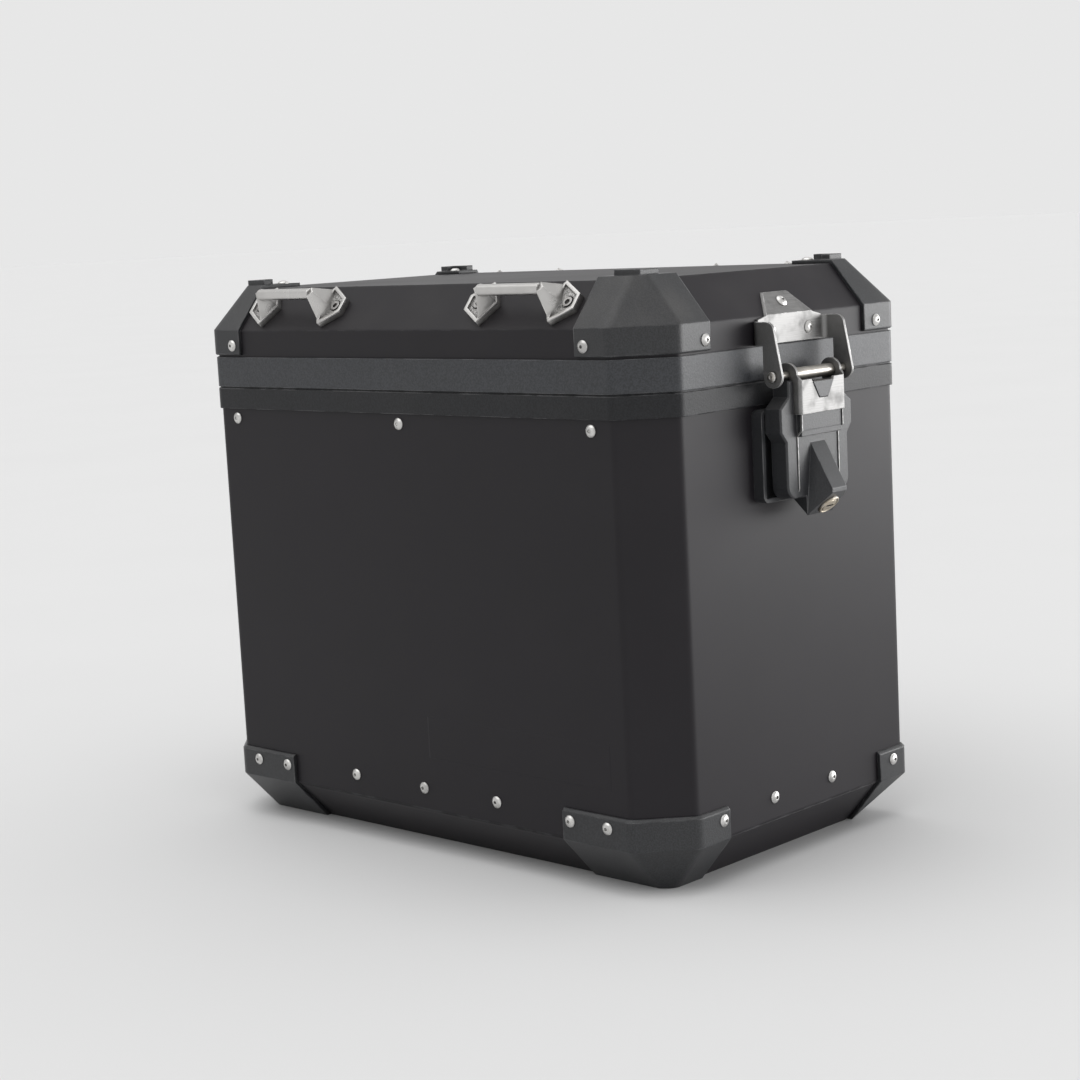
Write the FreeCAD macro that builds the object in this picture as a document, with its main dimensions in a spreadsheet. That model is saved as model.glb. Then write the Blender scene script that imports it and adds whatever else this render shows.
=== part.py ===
import FreeCAD, Part
import math
import os
import re
import Sketcher
from FreeCAD import Placement, Rotation, Vector

# Aluminium side case of an adventure motorcycle, left side, with its lid, corner pieces, lashing
# eyes, two latches and the claws that hang it on a tube carrier.
# Millimetres. X runs along the bike towards its rear wheel, -Y is the outer side of the case,
# +Y the side towards the bike, Z is up. The origin is the centre of the base, on the floor.

os.makedirs("parts", exist_ok=True)
doc = FreeCAD.newDocument("SideCase")
sheet = doc.addObject("Spreadsheet::Sheet", "Sizes")

# name, millimetres, what it measures
SIZES = [
    ("case_length", 460.0, "over the rims, along X"),
    ("case_width", 270.6, "over the rims, along Y"),
    ("overshoot", 1.0, "cutting shapes reach this far past what they cut"),
    ("corner_cut", 31.0, "leg of the 45 degree cut at the two outer corners"),
    ("wall", 1.5, "aluminium sheet of the wrap, pan and lid"),
    ("bend_radius", 6.0, "outside radius of the upright bends"),
    ("least_bend", 1.0, "radius of the tightest bends"),
    ("rim_proud", 1.8, "rims stand this far out of the sheet"),
    ("fold_height", 32.0, "bottom fold above the floor"),
    ("base_inset_long", 27.5, "base lies this far inside the wrap, along X"),
    ("base_inset_wide", 31.0, "base lies this far inside the wrap, along Y"),
    ("base_cut", 5.5, "leg of the outer corner cut at the base"),
    ("pan_upstand", 28.0, "pan flange that is riveted inside the wrap"),
    ("split_height", 331.9, "plane between body and lid"),
    ("body_rim_height", 16.5, "band below the split"),
    ("lid_rim_height", 22.0, "band above the split"),
    ("rim_cap", 2.0, "rim material over the sheet's edge"),
    ("rim_leg", 1.6, "inner leg of the rim"),
    ("rim_groove", 1.3, "height of the groove between the two rims"),
    ("rim_groove_depth", 1.2, "depth of that groove"),
    ("skirt_height", 41.5, "split to the lid's bend"),
    ("slope_height", 30.0, "lid's bend to its top"),
    ("slope_run_rear", 25.0, "the lid's rear slope leans in this far"),
    ("slope_run_front", 34.5, "the lid's front slope leans in this far"),
    ("slope_run_outer", 25.0, "the lid's outer slope leans in this far"),
    ("slope_run_inner", 16.0, "the lid's inner slope leans in this far"),
    ("top_cut", 6.0, "leg of the outer corner cut at the lid's top"),
    ("guard_thick", 3.0, "bottom corner guards"),
    ("guard_height", 53.6, "top edge of the guards above the floor"),
    ("guard_bevel", 1.8, "bevel along the upper edge of the guards"),
    ("guard_outer_long", 89.6, "outer guards reach this far along the long face"),
    ("guard_outer_wide", 61.0, "outer guards reach this far along the end faces"),
    ("guard_inner_long", 42.2, "inner guards reach this far along the long face"),
    ("guard_inner_wide", 33.5, "inner guards reach this far along the end faces"),
    ("cover_thick", 2.5, "lid corner covers"),
    ("cover_gap", 1.7, "covers end this far above the lid rim"),
    ("cover_bevel", 0.8, "bevel along the lower edge of the covers"),
    ("cover_long", 58.7, "covers reach this far along the long faces"),
    ("cover_outer_wide", 61.0, "outer covers reach this far along the end faces"),
    ("cover_inner_wide", 36.0, "inner covers reach this far along the end faces"),
    ("pad_long", 20.5, "leg of a stacking pad along X"),
    ("pad_outer_wide", 20.0, "leg of an outer pad along Y"),
    ("pad_inner_wide", 16.0, "leg of an inner pad along Y"),
    ("pad_band", 7.0, "width of a pad's legs"),
    ("pad_chamfer", 2.0, "cut at a pad's outer corner"),
    ("pad_height", 3.8, "stacking pad above the cover"),
    ("pad_inset", 2.0, "pad inside the edge of the lid's top"),
    ("seal_width", 4.0, "lid seal"),
    ("seal_height", 8.0, "lid seal"),
    ("seat_gap", 0.3, "between pieces that rest on each other but move apart"),
    ("eye_inset", 114.7, "middle of a lashing eye from the end face"),
    ("eye_bar_radius", 4.0, "bar of a lashing eye"),
    ("eye_bar_height", 18.0, "bar axis above the lid's slope"),
    ("eye_bar_half", 28.0, "half length of the bar"),
    ("eye_foot_inner", 22.0, "inner tip of a foot from the middle of the eye"),
    ("eye_foot_knee", 33.0, "widest place of a foot from the middle of the eye"),
    ("eye_foot_outer", 50.0, "outer end of a foot from the middle of the eye"),
    ("eye_foot_half", 16.5, "half width of a foot"),
    ("eye_foot_nose", 6.0, "half width of a foot's outer end"),
    ("eye_foot_thick", 5.0, "plate of a foot"),
    ("eye_border", 2.5, "raised border round a foot's pocket"),
    ("eye_pocket", 1.6, "depth of a foot's pocket"),
    ("eye_screw_place", 41.0, "screw recess from the middle of the eye"),
    ("eye_screw_radius", 4.6, "screw recess"),
    ("eye_screw_depth", 3.0, "screw recess"),
    ("latch_place", 12.5, "middle of both latches, along Y"),
    ("pin_standoff", 15.0, "pin axis out from the rims"),
    ("pin_rise", 2.6, "pin axis above the split"),
    ("pin_radius", 2.5, "latch pin"),
    ("pin_clear", 0.1, "running clearance round the pin"),
    ("pin_overhang", 1.5, "pin ends outside the ears"),
    ("sleeve_radius", 4.2, "spacer sleeve on the pin"),
    ("sleeve_gap", 1.1, "lever below the sleeve"),
    ("bracket_half", 40.0, "half width over the ears"),
    ("bracket_thick", 2.0, "steel of bracket and ears"),
    ("bracket_bend", 5.5, "outside radius of the bends between plate and ears"),
    ("bracket_gap", 0.8, "bracket plate ends this far above the lid rim"),
    ("tongue_rise", 15.0, "bracket tongue reaches this far above the bend"),
    ("tongue_root", 25.5, "half width of the tongue at the bend"),
    ("tongue_tip", 13.0, "half width of the tongue at its end"),
    ("tongue_round", 3.0, "rounded corners of the tongue's end"),
    ("ear_radius", 7.5, "end of an ear about the pin"),
    ("ear_round", 7.3, "rounded corners of that end"),
    ("ear_crown", 6.0, "round of an ear's upper corner"),
    ("ear_rise", 36.0, "top of an ear above the pin"),
    ("ear_top_reach", 0.5, "front of an ear's top, out from the pin axis"),
    ("hook_half", 25.0, "half width of the steel hook channel"),
    ("hook_thick", 2.0, "steel of the hook channel"),
    ("hook_bend", 2.5, "outside radius of its upright bends"),
    ("hook_front", 11.0, "front of the hook channel out from the pin axis"),
    ("hook_drop", 26.0, "hook channel reaches this far below the pin axis"),
    ("hook_plate_drop", 3.5, "upper edge of its front plate below the pin axis"),
    ("hook_lug_radius", 8.0, "lugs of the hook channel about the pin"),
    ("hook_lug_round", 7.8, "rounded corners of the lugs"),
    ("notch_root", 12.7, "half width of the notch at the plate's upper edge"),
    ("notch_tip", 4.8, "half width of the notch at its foot"),
    ("notch_depth", 13.0, "notch in the front plate"),
    ("notch_play", 0.3, "round the wedge in the notch"),
    ("wedge_proud", 0.5, "wedge out of the front plate"),
    ("lever_front", 5.0, "front of the lever's cheeks out from the pin axis"),
    ("lever_back", 8.0, "back of the lever in from the pin axis"),
    ("lever_neck", 30.0, "half width beside the hook channel"),
    ("lever_shoulder", 39.5, "half width at the shoulders"),
    ("lever_grip", 34.0, "half width of the grip"),
    ("neck_drop", 14.5, "neck ends this far below the pin axis"),
    ("shoulder_top", 21.5, "shoulders start this far below the pin axis"),
    ("shoulder_foot", 37.5, "shoulders end this far below the pin axis"),
    ("grip_top", 44.0, "grip starts this far below the pin axis"),
    ("grip_foot", 82.0, "grip ends this far below the pin axis"),
    ("grip_round", 9.0, "rounded lower corners of the grip"),
    ("block_half", 22.5, "half width of the block below the hook channel"),
    ("block_front", 9.0, "front of that block out from the pin axis"),
    ("block_foot", 41.0, "block ends this far below the pin axis"),
    ("block_slant", 4.0, "its underside slants up by this much at the front"),
    ("lever_bevel", 1.0, "bevel round the front of the lever"),
    ("nose_top", 46.0, "lock housing starts this far below the pin axis"),
    ("nose_foot", 94.5, "lock housing ends this far below the pin axis"),
    ("nose_reach", 21.5, "lock housing out from the pin axis"),
    ("nose_tip_top", 76.5, "front edge of the lock housing, upper corner"),
    ("nose_tip_foot", 79.5, "front edge of the lock housing, lower corner"),
    ("nose_half", 8.0, "half width of its ridge"),
    ("nose_root", 14.0, "half width of its foot"),
    ("key_radius", 8.0, "lock cylinder"),
    ("key_length", 9.0, "lock cylinder"),
    ("key_inset", 9.4, "its axis from the foot of the housing, along the underside"),
    ("key_proud", 0.8, "lock cylinder out of its housing"),
    ("catch_half", 43.0, "half width of the catch housing on the body"),
    ("catch_top", 22.0, "catch housing starts this far below the pin axis"),
    ("catch_foot", 84.0, "catch housing ends this far below the pin axis"),
    ("catch_wall", 3.0, "walls of the catch housing"),
    ("catch_round", 5.0, "rounded corners of the catch housing"),
    ("tube_radius", 9.0, "carrier tube that the case hangs on"),
    ("tube_clear", 0.1, "clearance round the carrier tube"),
    ("tube_standoff", 15.5, "carrier tube's axis out from the inner side"),
    ("claw_inset", 78.2, "middle of a hanging claw from the end face"),
    ("claw_length", 36.0, "hanging claws, along X"),
    ("claw_drop", 48.9, "upper carrier tube below the split"),
    ("claw_crown", 7.0, "claw material over the tube"),
    ("claw_lip", 6.0, "lip of a claw outside the tube"),
    ("claw_lip_drop", 7.0, "lip reaches this far below the tube's axis"),
    ("claw_plate", 3.5, "back plate of a claw"),
    ("claw_plate_drop", 34.0, "back plate below the tube's axis"),
    ("saddle_level", 105.0, "lower carrier tube above the floor"),
    ("saddle_length", 64.0, "lower saddle, along X"),
    ("saddle_half", 21.0, "half height of the lower saddle"),
]

for row, (alias, size, meaning) in enumerate(SIZES, start=1):
    sheet.set("A%d" % row, alias)
    sheet.set("B%d" % row, str(size))
    sheet.set("C%d" % row, meaning)
    sheet.setAlias("B%d" % row, alias)
doc.recompute()
NAMES = {alias for alias, size, meaning in SIZES}


def bound(text):
    """The expression with each size read from the sheet."""
    return re.sub(r"[a-z_]+", lambda word: "Sizes." + word[0] if word[0] in NAMES else word[0], text)


def value(text):
    """The number that an expression gives now."""
    return float(sheet.evalExpression(bound(text)))


# Lines that several pieces share, each an expression of the sheet.
HALF_LONG = "(case_length / 2 - rim_proud)"
HALF_WIDE = "(case_width / 2 - rim_proud)"
BEND_LEVEL = "(split_height + skirt_height)"
TOP_LEVEL = "(split_height + skirt_height + slope_height)"
PIN_X = "(case_length / 2 + pin_standoff)"
PIN_Z = "(split_height + pin_rise)"
TUBE_Y = "(case_width / 2 - rim_proud + tube_standoff)"
CLAW_LEVEL = "(split_height - claw_drop)"


def slope_length(run):
    """Length of a slope of the lid that leans in by run."""
    return "sqrt(pow(slope_height; 2) + pow(%s; 2))" % run


def plane_of(body, role):
    return next(feature for feature in body.Origin.OriginFeatures if feature.Role == role)


def outline(body, name, role, points, offset="0"):
    """A closed sketch on one of the body's planes, through corners whose places are bound."""
    sketch = body.newObject("Sketcher::SketchObject", name)
    sketch.AttachmentSupport = [(plane_of(body, role), "")]
    sketch.MapMode = "FlatFace"
    sketch.setExpression("AttachmentOffset.Base.z", bound(offset))
    corners = [Vector(value(x), value(y), 0) for x, y in points]
    last = len(corners) - 1
    for number, corner in enumerate(corners):
        following = corners[0 if number == last else number + 1]
        sketch.addGeometry(Part.LineSegment(corner, following))
    for number in range(len(corners)):
        following = 0 if number == last else number + 1
        sketch.addConstraint(Sketcher.Constraint("Coincident", number, 2, following, 1))
    for number, (x, y) in enumerate(points):
        for kind, place, text in (("DistanceX", corners[number].x, x), ("DistanceY", corners[number].y, y)):
            index = sketch.addConstraint(Sketcher.Constraint(kind, -1, 1, number, 1, place))
            sketch.setExpression("Constraints[%d]" % index, bound(text))
    return sketch


def rounded_outline(body, name, points, radius, offset="0"):
    """A closed plan, drawn counterclockwise, whose corners are arcs of one radius."""
    sketch = body.newObject("Sketcher::SketchObject", name)
    sketch.AttachmentSupport = [(plane_of(body, "XY_Plane"), "")]
    sketch.MapMode = "FlatFace"
    sketch.setExpression("AttachmentOffset.Base.z", bound(offset))
    corners = [Vector(value(x), value(y), 0) for x, y in points]
    size = value(radius)
    count = len(corners)
    arcs = []
    for number, corner in enumerate(corners):
        back = (corners[number - 1] - corner).normalize()
        ahead = (corners[(number + 1) % count] - corner).normalize()
        half_angle = back.getAngle(ahead) / 2
        run = size / math.tan(half_angle)
        centre = corner + (back + ahead).normalize() * (size / math.sin(half_angle))
        spokes = [corner + back * run - centre, corner + ahead * run - centre]
        start, end = [math.atan2(spoke.y, spoke.x) for spoke in spokes]
        arcs.append(Part.ArcOfCircle(Part.Circle(centre, Vector(0, 0, 1), size), start, end))
    for number, arc in enumerate(arcs):
        sketch.addGeometry(arc)
        sketch.addGeometry(Part.LineSegment(arc.EndPoint, arcs[(number + 1) % count].StartPoint))
    for number in range(count):
        arc, line, next_arc = 2 * number, 2 * number + 1, 2 * ((number + 1) % count)
        sketch.addConstraint(Sketcher.Constraint("Tangent", arc, 2, line, 1))
        sketch.addConstraint(Sketcher.Constraint("Tangent", line, 2, next_arc, 1))
        index = sketch.addConstraint(Sketcher.Constraint("Radius", arc, size))
        sketch.setExpression("Constraints[%d]" % index, bound(radius))
    for number, (x, y) in enumerate(points):
        corner = sketch.addGeometry(Part.Point(corners[number]), True)
        sketch.addConstraint(Sketcher.Constraint("PointOnObject", corner, 1, (2 * number - 1) % (2 * count)))
        sketch.addConstraint(Sketcher.Constraint("PointOnObject", corner, 1, 2 * number + 1))
        for kind, place, text in (("DistanceX", corners[number].x, x), ("DistanceY", corners[number].y, y)):
            index = sketch.addConstraint(Sketcher.Constraint(kind, -1, 1, corner, 1, place))
            sketch.setExpression("Constraints[%d]" % index, bound(text))
    return sketch


def ring_sketch(body, name, role, x, y, radius, offset="0"):
    """A circle on one of the body's planes."""
    sketch = body.newObject("Sketcher::SketchObject", name)
    sketch.AttachmentSupport = [(plane_of(body, role), "")]
    sketch.MapMode = "FlatFace"
    sketch.setExpression("AttachmentOffset.Base.z", bound(offset))
    centre = Vector(value(x), value(y), 0)
    sketch.addGeometry(Part.Circle(centre, Vector(0, 0, 1), value(radius)))
    for kind, place, text in (("DistanceX", centre.x, x), ("DistanceY", centre.y, y)):
        index = sketch.addConstraint(Sketcher.Constraint(kind, -1, 1, 0, 3, place))
        sketch.setExpression("Constraints[%d]" % index, bound(text))
    index = sketch.addConstraint(Sketcher.Constraint("Radius", 0, value(radius)))
    sketch.setExpression("Constraints[%d]" % index, bound(radius))
    return sketch


def new_body(name):
    body = doc.addObject("PartDesign::Body", name)
    body.Label = name
    return body


def pad(body, name, sketch, length):
    feature = body.newObject("PartDesign::Pad", name)
    feature.Profile = sketch
    feature.setExpression("Length", bound(length))
    doc.recompute()
    return feature


def pocket(body, name, sketch, length, forwards=False):
    """Cuts against the sketch's normal, or along it when forwards is set."""
    feature = body.newObject("PartDesign::Pocket", name)
    feature.Profile = sketch
    feature.Reversed = forwards
    feature.setExpression("Length", bound(length))
    doc.recompute()
    return feature


def straight_edges(shape, chosen):
    """Names of the straight edges between two flat faces that the test chooses."""
    found = []
    for number, edge in enumerate(shape.Edges, start=1):
        if edge.Curve.TypeId != "Part::GeomLine":
            continue
        sides = shape.ancestorsOfType(edge, Part.Face)
        if any(side.Surface.TypeId != "Part::GeomPlane" for side in sides):
            continue
        start, end = edge.Vertexes[0].Point, edge.Vertexes[1].Point
        if chosen((start + end) * 0.5, (end - start).normalize()):
            found.append("Edge%d" % number)
    return found


def rounded(body, name, radius, chosen):
    """Rounds the straight edges of the body that the test chooses."""
    base = body.Tip
    feature = body.newObject("PartDesign::Fillet", name)
    feature.Base = (base, straight_edges(base.Shape, chosen))
    feature.setExpression("Radius", bound(radius))
    doc.recompute()
    return feature


def bevelled(body, name, size, chosen):
    """Bevels the edges of the body whose middles the test chooses."""
    base = body.Tip
    feature = body.newObject("PartDesign::Chamfer", name)
    edges = enumerate(base.Shape.Edges, start=1)
    feature.Base = (base, ["Edge%d" % number for number, edge in edges if chosen(edge.CenterOfMass)])
    feature.setExpression("Size", bound(size))
    doc.recompute()
    return feature


def six_sides(rear, front, outer, inner, cut):
    """Plan of the case: square at the two inner corners, cut at the two outer ones."""
    return [
        ("-" + front, inner),
        ("-" + front, "-%s + %s" % (outer, cut)),
        ("-%s + %s" % (front, cut), "-" + outer),
        ("%s - %s" % (rear, cut), "-" + outer),
        (rear, "-%s + %s" % (outer, cut)),
        (rear, inner),
    ]


# A 45 degree cut that is moved out by one millimetre gets longer by this much.
CUT_GROWTH = "(2 - sqrt(2))"


def plan(grow, insets=("0", "0", "0", "0"), cut="corner_cut"):
    """The plan moved out by grow and in by one inset for each side, with the radius of its corners."""
    leg = "(%s + %s * (%s))" % (cut, CUT_GROWTH, grow)
    halves = (HALF_LONG, HALF_LONG, HALF_WIDE, HALF_WIDE)
    places = ["(%s + %s - %s)" % (half, grow, inset) for half, inset in zip(halves, insets)]
    return six_sides(*places, leg), "max(least_bend; min(bend_radius + (%s); 1.5 * %s))" % (grow, leg)


def lofted(name, sections):
    """A solid with flat sides and bent corners through plans at several heights."""
    body = new_body(name)
    sketches = [
        rounded_outline(body, "%s_plan_%d" % (name, number), points, radius, level)
        for number, (level, (points, radius)) in enumerate(sections)
    ]
    doc.recompute()
    loft = body.newObject("PartDesign::AdditiveLoft", name + "_loft")
    loft.Profile = sketches[0]
    loft.Sections = sketches[1:]
    loft.Ruled = True
    doc.recompute()
    return body


def lower_form(name, grow, floor, top, bevel=None):
    """Pan and wrap as one solid, moved out by grow, from floor up to top, where it can be bevelled."""
    inset_long = "(base_inset_long - (%s) * (sqrt(1 + pow(base_inset_long / fold_height; 2)) - 1))" % grow
    inset_wide = "(base_inset_wide - (%s) * (sqrt(1 + pow(base_inset_wide / fold_height; 2)) - 1))" % grow
    sections = [
        (floor, plan(grow, (inset_long, inset_long, inset_wide, inset_wide), "base_cut")),
        ("fold_height", plan(grow)),
    ]
    if bevel:
        sections += [("%s - %s" % (top, bevel), plan(grow)), (top, plan("%s - %s" % (grow, bevel)))]
    else:
        sections.append((top, plan(grow)))
    return lofted(name, sections)


def upper_form(name, grow, foot, bevel=None):
    """Lid as one solid, moved out by grow, from foot up, where it can be bevelled."""
    lift = "(%s) * (%s - slope_height) / slope_run_outer" % (grow, slope_length("slope_run_outer"))
    insets = []
    for run in ("slope_run_rear", "slope_run_front", "slope_run_outer", "slope_run_inner"):
        shift = "(%s) * (%s - %s) / slope_height" % (grow, slope_length(run), run)
        insets.append("(%s - %s + (%s))" % (run, shift, grow))
    sections = [
        ("%s + %s" % (BEND_LEVEL, lift), plan(grow)),
        ("%s + (%s)" % (TOP_LEVEL, grow), plan(grow, insets, "top_cut")),
    ]
    foot_sections = [(foot, plan(grow))]
    if bevel:
        foot_sections = [(foot, plan("%s - %s" % (grow, bevel))), ("%s + %s" % (foot, bevel), plan(grow))]
    return lofted(name, foot_sections + sections)


def cut(name, base, tool):
    feature = doc.addObject("Part::Cut", name)
    feature.Base = base
    feature.Tool = tool
    feature.Label = name
    doc.recompute()
    return feature


def common(name, base, tool):
    feature = doc.addObject("Part::Common", name)
    feature.Base = base
    feature.Tool = tool
    feature.Label = name
    doc.recompute()
    return feature


def fused(name, pieces):
    feature = doc.addObject("Part::MultiFuse", name)
    feature.Shapes = pieces
    feature.Label = name
    doc.recompute()
    return feature


def block(name, low, high):
    """A box between two corners whose places are bound."""
    box = doc.addObject("Part::Box", name)
    box.Label = name
    for side, axis, start, end in zip(("Length", "Width", "Height"), "xyz", low, high):
        box.setExpression(side, bound("(%s) - (%s)" % (end, start)))
        box.setExpression("Placement.Base." + axis, bound(start))
    doc.recompute()
    return box


def rod(name, radius, length, base, axis):
    """A cylinder from base along axis."""
    cylinder = doc.addObject("Part::Cylinder", name)
    cylinder.Label = name
    cylinder.setExpression("Radius", bound(radius))
    cylinder.setExpression("Height", bound(length))
    cylinder.Placement = Placement(Vector(0, 0, 0), Rotation(Vector(0, 0, 1), axis))
    for letter, place in zip("xyz", base):
        cylinder.setExpression("Placement.Base." + letter, bound(place))
    doc.recompute()
    return cylinder


PIECES = []


def piece(feature, name):
    """A finished sub-part, written under its name."""
    feature.Label = name
    PIECES.append(feature)
    return feature


# Bottom pan: folded sheet, its flange is riveted inside the wrap.
pan_outside = lower_form("pan_outside", "0", "0", "fold_height + overshoot")
pan_inside = lower_form("pan_inside", "-wall", "wall", "fold_height + overshoot")
pan_tray = cut("pan_tray", pan_outside, pan_inside)
above_fold = block(
    "above_fold",
    ("-case_length", "-case_width", "fold_height"),
    ("case_length", "case_width", "fold_height + 2 * overshoot"),
)
pan_slopes = cut("pan_slopes", pan_tray, above_fold)


def wall_ring(name, outer_grow, inner_grow, foot, top):
    """An upright band that follows the plan of the case."""
    body = new_body(name)
    outside = rounded_outline(body, name + "_outside", *plan(outer_grow), foot)
    pad(body, name + "_solid", outside, "(%s) - (%s)" % (top, foot))
    inside = rounded_outline(body, name + "_inside", *plan(inner_grow), foot)
    pocket(body, name + "_hollow", inside, "(%s) - (%s)" % (top, foot), forwards=True)
    return body


pan_flange = wall_ring("pan_flange", "-wall", "-2 * wall", "fold_height - wall", "fold_height + pan_upstand")
piece(fused("bottom_pan_sheet", [pan_slopes, pan_flange]), "bottom_pan")

# Wrap: one sheet bent round the four sides.
WRAP_TOP = "(split_height - rim_cap)"
piece(wall_ring("wrap", "0", "-wall", "fold_height", WRAP_TOP), "body_shell")


def rim(name, foot, top, sheet_foot, sheet_top):
    """A moulded band that caps a sheet's edge, with a leg on each side of the sheet."""
    band = wall_ring(name + "_band", "rim_proud", "-(wall + rim_leg)", foot, top)
    slot = wall_ring(name + "_slot", "0", "-wall", sheet_foot, sheet_top)
    return cut(name + "_cap", band, slot)


BODY_RIM_FOOT = "(split_height - body_rim_height)"
lower_rim = rim("lower", BODY_RIM_FOOT, "split_height", BODY_RIM_FOOT + " - overshoot", WRAP_TOP)
rim_groove = wall_ring(
    "rim_groove",
    "rim_proud + overshoot",
    "rim_proud - rim_groove_depth",
    "split_height - rim_groove",
    "split_height + overshoot",
)
piece(cut("lower_grooved", lower_rim, rim_groove), "body_rim")
LID_FOOT = "(split_height + rim_cap)"
LID_RIM_TOP = "(split_height + lid_rim_height)"
piece(rim("upper", "split_height", LID_RIM_TOP, LID_FOOT, LID_RIM_TOP + " + overshoot"), "lid_rim")

# Lid: sheet with a skirt and four slopes.
lid_outside = upper_form("lid_outside", "0", LID_FOOT)
lid_inside = upper_form("lid_inside", "-wall", LID_FOOT)
piece(cut("lid_sheet", lid_outside, lid_inside), "lid_shell")
piece(
    wall_ring(
        "seal",
        "-(wall + rim_leg)",
        "-(wall + rim_leg + seal_width)",
        "split_height + seat_gap",
        "split_height + seat_gap + seal_height",
    ),
    "lid_seal",
)

# Bottom guards: moulded pieces that follow the fold at each corner.
guard_outside = lower_form("guard_outside", "guard_thick", "0", "guard_height", "guard_bevel")
guard_inside = lower_form("guard_inside", "0", "0", "guard_height + overshoot")
guard_skin = cut("guard_skin", guard_outside, guard_inside)


def corner_block(name, end, side, reach_long, reach_wide, foot, top):
    """The room at one corner of the case, reaching this far along its long and its end face."""
    long_ends = ("%s - %s" % (HALF_LONG, reach_long), "case_length")
    wide_ends = ("%s - %s" % (HALF_WIDE, reach_wide), "case_width")
    if end == "front":
        long_ends = ("-case_length", "-(%s - %s)" % (HALF_LONG, reach_long))
    if side == "outer":
        wide_ends = ("-case_width", "-(%s - %s)" % (HALF_WIDE, reach_wide))
    return block(name, (long_ends[0], wide_ends[0], foot), (long_ends[1], wide_ends[1], top))


for end in ("front", "rear"):
    for side in ("outer", "inner"):
        name = "guard_%s_%s" % (end, side)
        reaches = ("guard_%s_long" % side, "guard_%s_wide" % side)
        corner = corner_block(name + "_corner", end, side, *reaches, "-overshoot", "2 * guard_height")
        piece(common(name + "_solid", guard_skin, corner), name)


def stacking_pad(name, end, side):
    """A raised L at the corner of a cover's top, cut at its outer corner."""
    far_x = "(%s - slope_run_%s - pad_inset)" % (HALF_LONG, end)
    far_y = "(%s - slope_run_%s - pad_inset)" % (HALF_WIDE, side)
    end_leg, side_leg = "(%s - pad_%s_wide)" % (far_y, side), "(%s - pad_long)" % far_x
    points = [
        (side_leg, far_y),
        (side_leg, far_y + " - pad_band"),
        (far_x + " - pad_band", far_y + " - pad_band"),
        (far_x + " - pad_band", end_leg),
        (far_x, end_leg),
        (far_x, far_y + " - pad_chamfer"),
        (far_x + " - pad_chamfer", far_y),
    ]
    if end == "front":
        points = [("-(%s)" % x, y) for x, y in points]
    if side == "outer":
        points = [(x, "-(%s)" % y) for x, y in points]
    body = new_body(name)
    sketch = outline(body, name + "_plan", "XY_Plane", points, TOP_LEVEL + " + cover_thick")
    pad(body, name + "_solid", sketch, "pad_height")
    return body


# Lid corner covers: moulded, with a raised pad for stacking.
cover_outside = upper_form("cover_outside", "cover_thick", LID_RIM_TOP + " + cover_gap", "cover_bevel")
cover_inside = upper_form("cover_inside", "0", LID_RIM_TOP)
cover_skin = cut("cover_skin", cover_outside, cover_inside)
for end in ("front", "rear"):
    for side in ("outer", "inner"):
        name = "cover_%s_%s" % (end, side)
        reaches = ("cover_long", "cover_%s_wide" % side)
        corner = corner_block(name + "_corner", end, side, *reaches, LID_RIM_TOP, "2 * " + TOP_LEVEL)
        corner_skin = common(name + "_skin", cover_skin, corner)
        piece(fused(name + "_solid", [corner_skin, stacking_pad(name + "_pad", end, side)]), name)


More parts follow.
